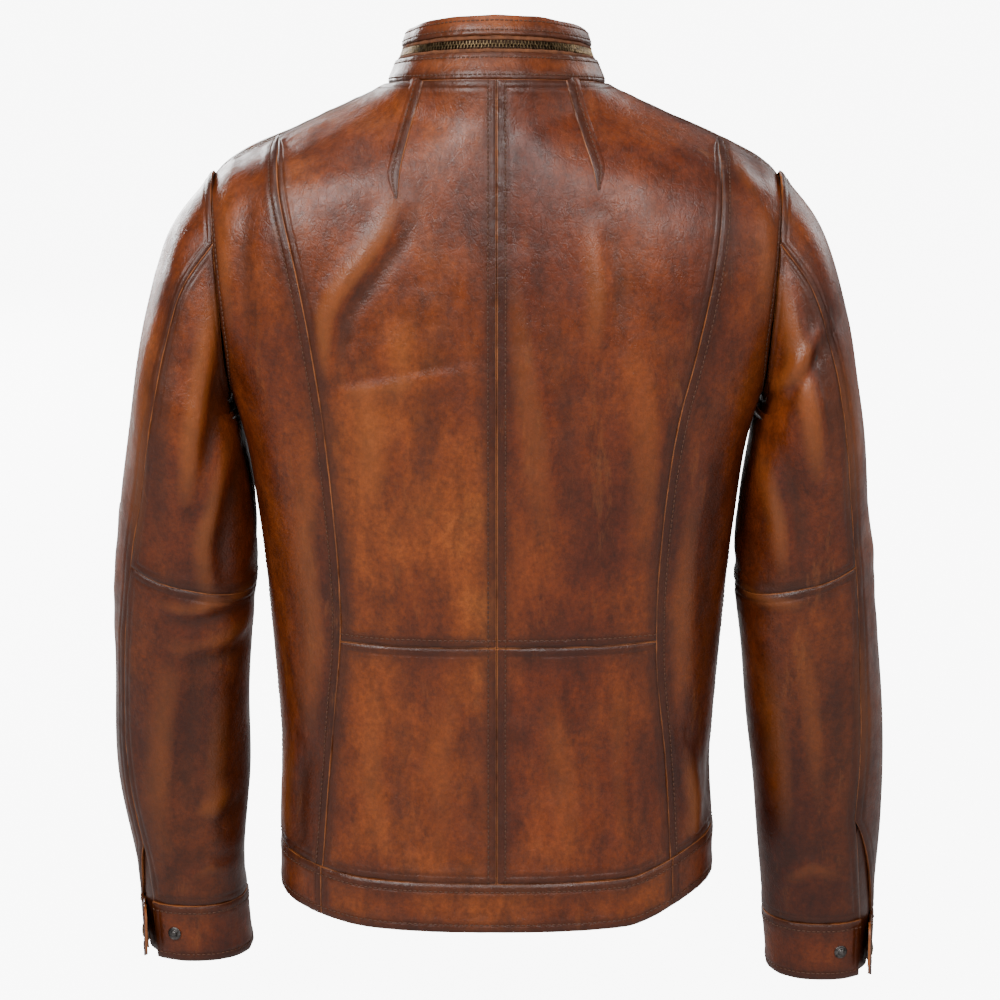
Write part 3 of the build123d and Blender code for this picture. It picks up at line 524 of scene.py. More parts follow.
# ---- materials --------------------------------------------------------------------------------
class Nodes:
    """Short calls for building a node material."""

    def __init__(self, name):
        self.material = bpy.data.materials.new(name)
        self.material.use_nodes = True
        self.tree = self.material.node_tree
        self.shader = self.tree.nodes["Principled BSDF"]
        self.where = self.make("ShaderNodeTexCoord").outputs["Object"]

    def make(self, kind, **settings):
        node = self.tree.nodes.new(kind)
        for key, value in settings.items():
            setattr(node, key, value)
        return node

    def join(self, source, target):
        self.tree.links.new(source, target)

    def noise(self, scale, detail=3.0, rough=0.55, stretch=None):
        node = self.make("ShaderNodeTexNoise")
        node.inputs["Scale"].default_value = scale
        node.inputs["Detail"].default_value = detail
        node.inputs["Roughness"].default_value = rough
        self.join(self.mapped(stretch) if stretch else self.where, node.inputs["Vector"])
        return node.outputs["Fac"]

    def mapped(self, stretch):
        node = self.make("ShaderNodeMapping")
        node.inputs["Scale"].default_value = stretch
        self.join(self.where, node.inputs["Vector"])
        return node.outputs["Vector"]

    def cells(self, scale, feature="F1", stretch=None):
        node = self.make("ShaderNodeTexVoronoi", feature=feature)
        node.inputs["Scale"].default_value = scale
        self.join(self.mapped(stretch) if stretch else self.where, node.inputs["Vector"])
        return node.outputs["Distance"]

    def level(self, low, high):
        """0 at one height and 1 at another."""
        apart = self.make("ShaderNodeSeparateXYZ")
        self.join(self.where, apart.inputs[0])
        share = self.make("ShaderNodeMapRange")
        share.inputs["From Min"].default_value = low
        share.inputs["From Max"].default_value = high
        self.join(apart.outputs["Z"], share.inputs["Value"])
        return share.outputs["Result"]

    def attribute(self, name):
        return self.make("ShaderNodeAttribute", attribute_name=name).outputs["Fac"]

    def ramp(self, source, stops):
        node = self.make("ShaderNodeValToRGB")
        ramp = node.color_ramp
        while len(ramp.elements) < len(stops):
            ramp.elements.new(0.5)
        for element, (place, colour) in zip(ramp.elements, stops):
            element.position = place
            element.color = (*colour, 1) if isinstance(colour, tuple) else (colour,) * 3 + (1,)
        self.join(source, node.inputs["Fac"])
        return node.outputs["Color"]

    def mix(self, share, first, second, blend="MIX"):
        node = self.make("ShaderNodeMix", data_type="RGBA", blend_type=blend)
        for socket, value in (("Factor", share), ("A", first), ("B", second)):
            target = [s for s in node.inputs if s.name == socket and s.enabled][0]
            if isinstance(value, (int, float)):
                target.default_value = value
            elif isinstance(value, tuple):
                target.default_value = (*value, 1)
            else:
                self.join(value, target)
        return [s for s in node.outputs if s.enabled][0]

    def math(self, kind, first, second=None, clamp=False):
        node = self.make("ShaderNodeMath", operation=kind, use_clamp=clamp)
        for socket, value in zip(node.inputs, (first, second)):
            if isinstance(value, (int, float)):
                socket.default_value = value
            elif value is not None:
                self.join(value, socket)
        return node.outputs[0]

    def bump(self, height, distance, strength=1.0, under=None):
        node = self.make("ShaderNodeBump")
        node.inputs["Strength"].default_value = strength
        node.inputs["Distance"].default_value = distance
        self.join(height, node.inputs["Height"])
        if under is not None:
            self.join(under, node.inputs["Normal"])
        return node.outputs["Normal"]

    def set(self, **values):
        for name, value in values.items():
            socket = self.shader.inputs[name.replace("_", " ")]
            if hasattr(value, "is_linked") or hasattr(value, "links"):
                self.join(value, socket)
            else:
                socket.default_value = value
        return self.material


def leather(name, tint=1.0, red=1.0, low=1.0):
    """Waxed brown leather: mottled, darker beside the seams, rubbed on edges; lighter on fold ridges
    (rubbing and a painted highlight) and darker in fold hollows (painted shade).

    Below the elbow its colour is multiplied by low: a painted shade, as if lit from above.
    """
    n = Nodes(name)

    def shade(r, g, b):
        return (r * tint, g * tint / red, b * tint / red)
    cloud = n.ramp(n.noise(12, 5, 0.62, (1.0, 1.0, 0.62)), [
        (0.30, shade(0.085, 0.0135, 0.0018)), (0.46, shade(0.150, 0.0270, 0.0030)),
        (0.60, shade(0.235, 0.0500, 0.0060)), (0.76, shade(0.350, 0.0920, 0.0140))])
    smudge = n.ramp(n.noise(60, 7, 0.74, (1.0, 1.0, 0.5)), [(0.32, 0.55), (0.52, 0.98), (0.70, 1.22)])
    colour = n.mix(1.0, cloud, smudge, "MULTIPLY")
    fine = n.ramp(n.noise(230, 5, 0.75), [(0.34, 0.66), (0.62, 1.14)])
    colour = n.mix(1.0, colour, fine, "MULTIPLY")
    specks = n.ramp(n.cells(560), [(0.0, 0.74), (0.35, 1.0)])
    colour = n.mix(0.8, colour, specks, "MULTIPLY")
    # painted shade: the colour darkens downwards, from 0.27 m to 0.50 m below the neck, by the factor low
    colour = n.mix(1.0, colour, n.ramp(n.level(-0.50, -0.27), [(0.0, low), (1.0, 1.0)]), "MULTIPLY")
    edge = n.attribute("edge")
    uneven = n.math("MULTIPLY", edge, n.math("ADD", n.noise(48, 4), 0.42))
    colour = n.mix(n.ramp(uneven, [(0.04, 0.0), (0.42, 0.66), (1.0, 0.80)]), colour,
                   (0.030, 0.0070, 0.0022))
    # fold ridges lighter: partly rubbed leather, partly a painted highlight
    crest = n.attribute("crest")
    colour = n.mix(n.ramp(crest, [(0.15, 0.0), (0.95, 0.36)]), colour, (0.36, 0.105, 0.022))
    # painted shade: the hollows beside the folds are darkened
    hollow = n.math("MULTIPLY", crest, -1.0)
    colour = n.mix(n.ramp(hollow, [(0.06, 0.0), (0.7, 0.62)]), colour, (0.032, 0.0080, 0.0026))
    rim = n.math("POWER", edge, 11.0)
    rubbed = n.ramp(n.math("MULTIPLY", rim, n.math("ADD", n.noise(110, 4), 0.45)),
                    [(0.34, 0.0), (0.66, 0.85)])
    patches = n.ramp(n.noise(23, 3, 0.6), [(0.40, 0.22), (0.58, 1.0)])
    colour = n.mix(n.math("MULTIPLY", rubbed, patches), colour, (0.36, 0.112, 0.030))
    scuffs = n.ramp(n.noise(30, 6, 0.78, (1.0, 1.0, 0.2)), [(0.60, 0.0), (0.72, 0.26)])
    colour = n.mix(scuffs, colour, (0.33, 0.100, 0.022))
    grain = n.math("ADD", n.math("MULTIPLY", n.cells(620, "SMOOTH_F1"), 0.8), n.noise(1500, 2))
    crease = n.cells(150, "DISTANCE_TO_EDGE", (1, 1, 0.6))
    normal = n.bump(n.ramp(crease, [(0.0, 0.0), (0.09, 1.0)]), 0.00016, 0.45)
    normal = n.bump(grain, 0.00026, 0.60, normal)
    normal = n.bump(n.noise(50, 4), 0.0022, 0.42, normal)
    rough = n.ramp(n.noise(64, 4), [(0.3, 0.30), (0.7, 0.50)])
    return n.set(Base_Color=colour, Roughness=rough, Normal=normal, Coat_Weight=0.06,
                 Coat_Roughness=0.26, Specular_IOR_Level=0.42)


def raw_leather():
    n = Nodes("raw_edge_leather")
    colour = n.ramp(n.noise(160, 5, 0.7), [(0.3, (0.060, 0.017, 0.005)), (0.7, (0.20, 0.062, 0.018))])
    return n.set(Base_Color=colour, Roughness=0.82, Normal=n.bump(n.noise(900, 3), 0.0003, 0.6))


def thread_material(name, colour):
    n = Nodes(name)
    twist = n.noise(1400, 2, 0.5)
    shade = n.mix(n.ramp(twist, [(0.35, 0.0), (0.7, 1.0)]), tuple(c * 0.55 for c in colour), colour)
    return n.set(Base_Color=shade, Roughness=0.62, Normal=n.bump(twist, 0.0002, 0.5))


def woven(name, dark, light, scale, rough=0.85):
    """Cloth with crossing threads."""
    n = Nodes(name)
    across = n.make("ShaderNodeTexWave", wave_type="BANDS", bands_direction="DIAGONAL")
    across.inputs["Scale"].default_value = scale
    across.inputs["Distortion"].default_value = 0.4
    n.join(n.where, across.inputs["Vector"])
    weave = n.math("MULTIPLY", across.outputs["Fac"], n.noise(scale * 1.7, 2))
    colour = n.mix(n.ramp(weave, [(0.1, 0.0), (0.5, 1.0)]), dark, light)
    return n.set(Base_Color=colour, Roughness=rough, Sheen_Weight=0.25,
                 Normal=n.bump(weave, 0.0003, 0.6))


def metal(name, dark, light, rough):
    """Aged metal, dark in its hollows and bright where it is rubbed."""
    n = Nodes(name)
    colour = n.mix(n.ramp(n.noise(260, 5, 0.7), [(0.35, 0.0), (0.68, 1.0)]), dark, light)
    shine = n.ramp(n.noise(420, 3), [(0.3, rough - 0.08), (0.7, rough + 0.14)])
    return n.set(Base_Color=colour, Metallic=1.0, Roughness=shine,
                 Normal=n.bump(n.noise(700, 3), 0.00015, 0.35))


def hardware():
    return {
        "brass": metal("antique_brass", (0.045, 0.030, 0.016), (0.30, 0.205, 0.105), 0.40),
        "gunmetal": metal("gunmetal", (0.030, 0.028, 0.027), (0.22, 0.20, 0.19), 0.34),
    }


MATERIALS = {
    "leather": leather("outer_leather"),
    # painted shade: a darker copy of the same leather for the wearer's right, the side turned from the key
    # light
    "leather_right": leather("outer_leather_deep", 0.80, 1.12),
    # painted shade: darker copies for the side-back panels, which turn away from the light, the right one
    # darker still; low darkens them further down
    "leather_side": leather("outer_leather_side", 0.82, 1.08, 0.80),
    "leather_side_right": leather("outer_leather_side_deep", 0.66, 1.14, 0.84),
    # the sleeves' low factor of 0.60 paints shade towards the cuffs
    "leather_sleeve": leather("outer_leather_sleeve", 0.80, 1.10, 0.60),
    "leather_cuff": leather("outer_leather_cuff", 0.74, 1.10),
    "raw": raw_leather(),
    "thread": thread_material("brown_thread", (0.105, 0.034, 0.013)),
    "lining": woven("lining_cloth", (0.028, 0.019, 0.016), (0.060, 0.040, 0.032), 900),
    "tape": woven("zip_tape", (0.040, 0.018, 0.010), (0.10, 0.045, 0.022), 1300, 0.9),
    **hardware(),
}


# ---- torso panels -------------------------------------------------------------------------------
def side_turn(z, face):
    """Turn of a panel's side edge: armhole, and shoulder and side seams above and below it."""
    half, back, power = (smooth(TORSO, z, k) for k in (1, 2, 3))
    front = FRONT_SLOPE * z - COLLAR_BASE
    seam = np.arcsin(np.clip(signed_power(-(back + front) / (back - front), power / 2), -1, 1))
    armhole = 217.8 + 0.0779 * (z + 66)
    hole = np.arccos(np.clip(armhole / half, 0, 1) ** (power / 2))
    hole = np.where((z > ARMPIT) & (z < -50), hole, 0)
    return np.where(hole > 0, np.maximum(hole, seam) if face > 0 else np.minimum(-hole, seam), seam)


def seam_turn(side):
    """Turn of the seam between centre back and side back."""
    table = [(z, x) for x, z in SIDE_BACK[side]]

    def turn(z):
        return np.maximum(turn_at_x(smooth(table, z, 1), z, 1), side_turn(z, 1))
    return turn


def drawn_to_collar(line, run):
    """A column whose top end curves in to the foot of the collar."""
    angle = math.atan2(line[0] @ COLLAR_BACK, line[0, 0])
    foot = (COLLAR_BASE + 0.4) * (math.cos(angle) * np.array((1, 0, 0)) + math.sin(angle) * COLLAR_BACK)
    return line + ease(1 - np.clip(run / 42, 0, 1))[:, None] * (foot - line[0])


def torso_grid(first, last, bottom, top, step=4.0, depth=0.0):
    """Grid over the left half of the torso between two edges given as turns at each height."""
    level = np.linspace(34, bottom, 1300)
    start, end = first(level), last(level)
    across = torso_point(start + (end - start) * np.linspace(0, 1, 60)[:, None], level[None])[:, 700]
    columns = []
    for share in spread(lengths_along(across)[-1], step=step):
        line = torso_point(start + (end - start) * share, level)
        inside = level <= (line[:, 1] * math.tan(COLLAR_LEAN) if top is None else top)
        columns.append(line[np.argmax(inside):])
    rows = spread(max(lengths_along(line)[-1] for line in columns), step=step)
    grid = []
    for line in columns:
        run = lengths_along(line)
        if top is None:
            line = drawn_to_collar(line, run)
        grid.append(read_line(line, run, rows * run[-1]))
    grid = np.array(grid).transpose(1, 0, 2)
    if depth:
        grid = grid - grid_normals(grid, grid * (1, 1, 0)) * depth
    return grid


def hang(points):
    """The hem hangs a little higher towards the sides, more so on the wearer's right."""
    out = np.clip((np.abs(points[..., 0]) - 98) / 72, 0, 1)
    low = np.clip((-470 - points[..., 2]) / 140, 0, 1)
    rise = np.where(points[..., 0] < 0, 17.0, 5.0)
    points = points.copy()
    points[..., 2] += rise * ease(out) * ease(low)
    return points


def torso_panel(node, sign, first, last, bottom, top, edges, material, folds, seed, **more):
    """A panel of the torso that stands for the CAD node of the same name."""
    grid = torso_grid(first, last, bottom, top)
    if node.startswith("front"):
        slot = ((np.abs(grid[..., 0] - POCKET_X) < 6.5) & (grid[..., 2] < POCKET_HIGH + 3)
                & (grid[..., 2] > POCKET_LOW - 3))
        more["keep"] = ~slot
    grid[..., 0] *= sign
    grid = hang(grid)
    piece = panel(f"leather_{node}", grid, grid * (1, 1, 0), edges, material, folds, seed, **more)
    belong(piece, "jacket_body", [node])


def back_centre(z):
    """Turn of the seam down the centre of the back."""
    return turn_at_x(0.25 + 0 * z, z, 1)


def front_edge(z):
    return turn_at_x(ZIP_GAP + 0 * z, z, -1)


def hem_seam(z):
    """Turn of the seams between the back and side pieces of the hem band."""
    return turn_at_x(138 + 0 * z, z, 1)


DARTS = {"left": [(55, 11), (58, -1), (65, -24), (72, -51), (74, -70)],
         "right": [(-52, 12), (-57, -7), (-65, -30), (-72, -50), (-75, -65)]}
LOWER_SEAM = -420
for side, sign in SIDES:
    # the right panels and both side-back panels take leather copies darkened as painted shade
    skin = MATERIALS["leather" if side == "left" else "leather_right"]
    side_skin = MATERIALS["leather_side" if side == "left" else "leather_side_right"]
    side_back = seam_turn(side)
    torso_panel(f"back_upper_{side}", sign, back_centre, side_back, LOWER_SEAM, None, "lrbt",
                skin, BACK_FOLDS, 11, stitched="lb", dart=DARTS[side])
    torso_panel(f"back_lower_{side}", sign, back_centre, side_back, BAND_TOP, LOWER_SEAM, "lrbt",
                skin, BACK_FOLDS, 11, stitched="l")
    torso_panel(f"side_back_{side}", sign, side_back, lambda z: side_turn(z, 1), BAND_TOP, -39,
                "lrbt", side_skin, BACK_FOLDS, 23, stitched="lr")
    torso_panel(f"front_{side}", sign, lambda z: side_turn(z, -1), front_edge, BAND_TOP, None,
                "lrbt", skin, FRONT_FOLDS, 37, stitched="r")
    torso_panel(f"hem_band_{side}", sign, hem_seam, front_edge, HEM, BAND_TOP, "lrbt",
                skin, (), 51, stitched="tb", lift=0.5, wave=0.35)
torso_panel("hem_band_back", 1, hem_seam, lambda z: np.pi - hem_seam(z), HEM, BAND_TOP, "lrbt",
            MATERIALS["leather"], (), 51, stitched="tb", lift=0.5, wave=0.35)


def plain(name, grid, outward, material, thickness, body, nodes, keep=None, wave=0.0):
    """A plain layer: lining, tape or strap."""
    normals = grid_normals(grid, outward)
    grid = grid + normals * (wave * waves(grid, 5, 55.0))[..., None]
    piece = shell(name, grid, normals, thickness, MATERIALS[material], keep=keep)
    belong(piece, body, nodes)


lining = hang(torso_grid(front_edge, lambda z: np.pi - front_edge(z), HEM + 7, None, 8.0, 6.8))
lining_keep = ~((np.abs(lining[..., 0]) > 214 + 0.0779 * (lining[..., 2] + 66))
                & (lining[..., 2] > ARMPIT) & (lining[..., 2] < -60))
plain("lining_body", lining, lining * (1, 1, 0), "lining", 0.8, "jacket_body", ["body_lining"],
      lining_keep, 0.8)

arc = np.radians(np.linspace(208, 332, 40))[:, None]
strap_height = np.array([-12, -11.6, -8.5, -5.4, -5])[None]
strap_out = np.array([-0.5, 0, 0.2, 0, -0.5])[None]
loop = np.stack([(19.4 + strap_out) * np.cos(arc), 83 + (19.4 + strap_out) * np.sin(arc),
                 strap_height + 0 * arc], -1)
plain("hanger_loop_strap", loop, (loop - (0, 83, 0)) * (1, 1, 0), "leather", 1.4, "jacket_body",
      ["hanger_loop"])


# ---- collar ---------------------------------------------------------------------------------------
THROAT = 8.0                              # half width of the opening at the throat


def collar_sweep(profile, throat=THROAT, count=300):
    """Grid round the collar from a profile of (way up the slope, depth) points."""
    gap = math.degrees(throat / COLLAR_BASE)
    turns = np.radians(np.linspace(-90 + gap, 270 - gap, count))
    return np.stack([collar_point(turns, climb, depth) for climb, depth in profile])


def from_collar_axis(grid):
    return grid - (grid @ COLLAR_AXIS)[..., None] * COLLAR_AXIS


def collar_piece(name, profile, node, seed, stitch_at=(), material="leather", thickness=LEATHER):
    """A band of the collar with puckers along its stitches."""
    profile = smooth_line(profile)
    grid = collar_sweep(profile)
    outward = from_collar_axis(grid)
    normals = grid_normals(grid, outward if profile[len(profile) // 2, 1] < 5 else -outward)
    distance = edge_distance(grid, "tb")
    height = 0.5 * waves(grid, seed, 48.0) * (1 - 0.6 * np.exp(-(distance / 6) ** 2))
    pucker = 0.26 * waves(grid, seed + 3, 9.0) * np.exp(-(distance / 7.0) ** 2)
    dimples = sum(-0.4 * np.exp(-((profile[:, 0] - climb) / 0.9) ** 2) for climb in stitch_at)
    grid = grid + normals * (height + pucker)[..., None]
    if stitch_at:
        grid = grid + normals * dimples[:, None, None]
    normals = grid_normals(grid, normals)
    piece = shell(name, grid, normals, thickness, MATERIALS[material],
                  (np.exp(-distance / 6.0), 0 * distance))
    belong(piece, "jacket_body", [node])
    for climb in stitch_at:
        row = np.argmin(np.abs(profile[:, 0] - climb) + 4 * (profile[:, 1] > 3))
        sew("jacket_body", grid[row], nearest_normals(grid, normals), 3.6, 2.7)


collar_piece("leather_collar_lower", [(0.2, 1.6), (0.6, 0.5), (2, -0.2), (5, -0.7), (10, -0.5), (15, -0.3),
                                      (18.2, -0.3), (20.0, 0.3), (20.5, 1.2), (20.0, 2.0)],
             "collar_lower_band", 61, (3.6, 16.4))
collar_piece("leather_collar_upper", [(33.0, 2.0), (32.5, 1.2), (33.0, 0.3), (34.8, -0.3), (38, -0.5),
                                      (42, -0.5), (45.5, 0.0), (47.6, 1.4), (48.4, 3.2), (48.2, 5.4),
                                      (47.0, 7.0), (44, 7.6), (40, 7.6)],
             "collar_upper_band", 67, (36.6, 44.0))
collar_piece("lining_collar", [(44, 8.3), (38, 8.4), (26, 8.3), (14, 8.3), (4, 8.3)],
             "collar_facing", 71, (), "lining", 1.0)
# The raw lip on each side of the collar's zip: way from the zip, depth.
LIP = [(-7.9, 2.6), (-5.7, 1.5), (-4.2, 1.0), (-3.4, 1.6), (-3.2, 2.5), (-4.1, 3.2)]
for name, way in (("lower", 1), ("upper", -1)):
    rim = collar_sweep(smooth_line([(COLLAR_ZIP + way * climb, depth) for climb, depth in LIP], step=0.6))
    rim_normals = grid_normals(rim, from_collar_axis(rim))
    rim = rim + rim_normals * (0.22 * waves(rim, 5, 8.0))[..., None]
    lip = shell(f"collar_lip_{name}", rim, rim_normals, 0.5, MATERIALS["raw"])
    belong(lip, "jacket_body", ())
tape = collar_sweep([(climb, 3.4) for climb in (8, 20, COLLAR_ZIP, 33, 45)], THROAT + 1)
plain("tape_collar_zip", tape, tape * (1, 1, 0), "tape", 0.8, "jacket_body", ["collar_zip_tapes"])


# ---- zip chains ----------------------------------------------------------------------------------
def chain(name, centre, across, outward, node, pitch=1.3, inner=0.7, outer=3.1, half=1.15,
          half_width=0.52):
    """Interlocking teeth along a line: each tooth is a small block with a bevelled top."""
    run = lengths_along(centre)
    count = int(run[-1] / pitch)
    at = (np.arange(count) + 0.5) * run[-1] / count
    place = read_line(centre, run, at)
    side, out = unit(read_line(across, run, at)), unit(read_line(outward, run, at))
    way = np.cross(out, side)
    sign = np.where(np.arange(count) % 2, 1, -1)[:, None]
    blocks = []
    for level, shrink in ((-half, 0.0), (half * 0.45, 0.0), (half, 0.28)):
        for u, v in ((-1, -1), (1, -1), (1, 1), (-1, 1)):
            reach = (outer - shrink) if v > 0 else -(inner - shrink)
            blocks.append(place + out * level + side * sign * reach
                          + way * u * (half_width - 0.6 * shrink))
    points = np.stack(blocks, 1).reshape(-1, 3)
    faces = [(3, 2, 1, 0), (8, 9, 10, 11)]
    for ring in (0, 4):
        faces += [(ring + k, ring + (k + 1) % 4, ring + 4 + (k + 1) % 4, ring + 4 + k) for k in range(4)]
    faces = (np.array(faces)[None] + 12 * np.arange(count)[:, None, None])
    mirrored = faces[sign[:, 0] < 0][..., ::-1]
    faces = np.concatenate([faces[sign[:, 0] > 0], mirrored]).reshape(-1, 4)
    piece = new_object(name, points, faces.tolist(), MATERIALS["brass"], False)
    belong(piece, "jacket_body", [node])


collar_chain, uphill, under = collar_sweep(
    [(COLLAR_ZIP, CHAIN_DEPTH - 0.6), (COLLAR_ZIP + 1, CHAIN_DEPTH - 0.6), (COLLAR_ZIP, CHAIN_DEPTH + 0.4)],
    THROAT + 1, 400)
chain("teeth_collar_zip", collar_chain, uphill - collar_chain, collar_chain - under, "collar_zip_teeth")


def front_place(x, z, depth):
    """A point under the outer face of the front, with the way across and the way out."""
    def on_face(x, z):
        return torso_point(turn_at_x(x, z, -1), z)
    across = on_face(x + 1, z) - on_face(x - 1, z)
    up = on_face(x, z + 1) - on_face(x, z - 1)
    out = unit(np.cross(across, up))
    return on_face(x, z) - out * depth, across, out


def front_chain(name, x, high, low, node):
    z = np.linspace(high, low, 90)
    centre, across, out = front_place(x + 0 * z, z, CHAIN_DEPTH)
    chain(name, centre, across, out, node)


def front_tape(name, x, reach, high, low, node):
    """A strip of tape behind a chain."""
    z = np.linspace(high, low, 60)[:, None]
    across = x + np.linspace(-reach, reach, 13)[None]
    grid = front_place(across + 0 * z, z + 0 * across, 3.9)[0]
    plain(name, grid, FORWARD, "tape", 0.7, "jacket_body", [node])


front_chain("teeth_front_zip", 0, -31, -624, "front_zip_teeth")
front_tape("tape_front_zip", 0, 18.5, -22, HEM + 12, "front_zip_tapes")


def welt(side, sign):
    """The folded leather frame round a pocket's slot."""
    x, middle, half = sign * POCKET_X, (POCKET_HIGH + POCKET_LOW) / 2, (POCKET_HIGH - POCKET_LOW) / 2
    turn = np.radians(np.concatenate([np.linspace(a, a + 90, 9) for a in (0, 90, 180, 270)]))
    radii = np.array([3.9, 3.6, 4.0, 4.8, 6.5, 8.6, 10.2, 10.9, 11.2])
    lift = np.array([-1.9, -0.7, 0.5, 1.1, 1.25, 1.2, 0.9, 0.3, -0.6])
    long = (half + 1) * np.where(np.sin(turn + 0.01) > 0, 1, -1)
    path = np.stack([np.cos(turn), np.sin(turn), long], axis=1)
    fine = np.concatenate([np.linspace(path[k], path[(k + 1) % len(path)],
                                       40 if abs(path[k][2] - path[(k + 1) % len(path)][2]) > 1 else 2,
                                       endpoint=False) for k in range(len(path))])
    wide = np.stack([x + fine[:, 0] * r for r in radii])
    tall = np.stack([middle + fine[:, 2] + fine[:, 1] * r * 0.7 for r in radii])
    base, _, out = front_place(wide, tall, 0.0)
    flat_foot = 1 - 0.85 * np.clip(-fine[:, 1], 0, 1)
    rise = np.where(lift[:, None] > 0, lift[:, None] * flat_foot, lift[:, None])
    grid = base + out * (rise + 0.15 * waves(base, 19, 14.0))[..., None]
    normals = grid_normals(grid, out)
    distance = np.minimum(radii - 3.6, 11.2 - radii)[:, None] + 0 * wide
    piece = shell(f"leather_welt_{side}", grid, normals, 0.9, MATERIALS["leather"],
                  (np.exp(-distance / 3.0), 0 * distance), closed=True)
    belong(piece, "jacket_body", ())
    sew("jacket_body", np.concatenate([grid[5], grid[5][:1]]), nearest_normals(grid, normals), 3.6, 2.7)


for side, sign in SIDES:
    front_chain(f"teeth_pocket_zip_{side}", sign * POCKET_X, POCKET_HIGH - 1, POCKET_LOW + 1,
                f"pocket_zip_teeth_{side}")
    front_tape(f"tape_pocket_zip_{side}", sign * POCKET_X, 16, POCKET_HIGH + 6, POCKET_LOW - 6,
               f"pocket_zip_tapes_{side}")
    welt(side, sign)
    across, tall = np.meshgrid(sign * np.linspace(57, 148, 24), np.linspace(-420, -588, 40))
    bag = front_place(across, tall, 23.0)[0]
    plain(f"lining_pocket_{side}", bag, FORWARD, "lining", 0.8, "jacket_body",
          [f"pocket_bag_{side}"], wave=0.6)


# ---- sleeves --------------------------------------------------------------------------------------
ELBOW_SLANT = 25                          # the seam across the elbow drops towards the inside
ELBOW_SEAM = -371


def sleeve_grid(side, sign, start, end, high, low, step=4.0, inset=0.0):
    """Grid over a sleeve between two turns (functions of height), from run high to run low."""
    table = sleeve_table(side)
    half = (high + low) / 2
    level = np.interp([half], table[:, 0], table[:, 2])
    a, b = np.radians(start(level)), np.radians(end(level))
    across = sleeve_point(table, a + (b - a) * np.linspace(0, 1, 80), np.full(80, half), sign)
    share = spread(lengths_along(across)[-1], step=step)
    slant = ELBOW_SLANT * np.sin(np.pi / 2 * np.clip(share / 0.65, 0, 1))
    starts = high + (slant if high == run_at(side, ELBOW_SEAM) else 0 * share)
    ends = low + (slant if low == run_at(side, ELBOW_SEAM) else 0 * share)
    rows = spread(abs(low - high), step=step)[:, None]
    run = starts + rows * (ends - starts)
    level = np.interp(run, table[:, 0], table[:, 2])
    a, b = np.radians(start(level)), np.radians(end(level))
    grid = sleeve_point(table, a + (b - a) * share, run, sign)
    middle = (sleeve_point(table, 0 * run, run, sign) + sleeve_point(table, 0 * run + np.pi, run, sign)) / 2
    outward = grid - middle
    if inset:
        grid = grid - grid_normals(grid, outward) * inset
    return grid, outward


def run_at(side, z):
    table = sleeve_table(side)
    return float(np.interp(-z, -table[:, 2], table[:, 0]))


TAB_TURN, SLIT_TURN = 15, 45


def seam_edges(side):
    """Turns of the four seam edges; below the slit's top the two leathers part."""
    def opened(z, goal):
        seam = smooth(BACK_SEAM_TURN[side], z, 1)
        share = np.clip((SLIT_TOP[side] - z) / (SLIT_TOP[side] - CUFF_SEAM[side]), 0, 1)
        return seam + (goal - seam) * share ** 0.8
    return (lambda z: opened(z, TAB_TURN), lambda z: opened(z, SLIT_TURN),
            lambda z: 0 * z + FRONT_SEAM_TURN - 360, lambda z: 0 * z + FRONT_SEAM_TURN)


def sleeve_piece(node, side, sign, start, end, high, low, edges, seed, nodes, body, stitched="",
                 material="leather_sleeve", lift=0.0, wave=0.7):
    """One leather piece of a sleeve between two turns and two running lengths."""
    grid, outward = sleeve_grid(side, sign, start, end, high, low)
    normals = grid_normals(grid, outward)
    facing = np.clip(normals[..., 1] * 1.6 + 0.35, 0.15, 1)
    inward = fold_relief(grid, SLEEVE_FOLDS[side]) * facing
    distance = edge_distance(grid, edges)
    fade = 1 - np.exp(-(distance / 9.0) ** 2)
    elbow = np.exp(-((grid[..., 2] - ELBOW) / 45) ** 2)
    wrinkle = elbow * waves(grid * (0.5, 0.5, 1.6), seed + 3, 42.0)
    height = (inward * (0.35 + 0.65 * fade)
              + (wave * waves(grid, 77 + sign) + wrinkle) * (0.3 + 0.7 * fade))
    height += 0.22 * waves(grid, seed + 9, 13.0) * np.exp(-(distance / 10.0) ** 2)
    surface = grid + normals * (lift + height + seam_relief(distance))[..., None]
    normals = grid_normals(surface, outward)
    # the fold height goes to the material as crest: painted highlight on ridges, painted shade in hollows
    piece = shell(f"leather_{node}_{side}", surface, normals, LEATHER, MATERIALS[material],
                  (np.exp(-distance / 7.0), np.clip(inward / 3.0, -1, 1)))
    for edge in stitched:
        sew(body, polyline_inset(surface, edge, SEAM_INSET), nearest_normals(surface, normals))
    belong(piece, body, nodes)


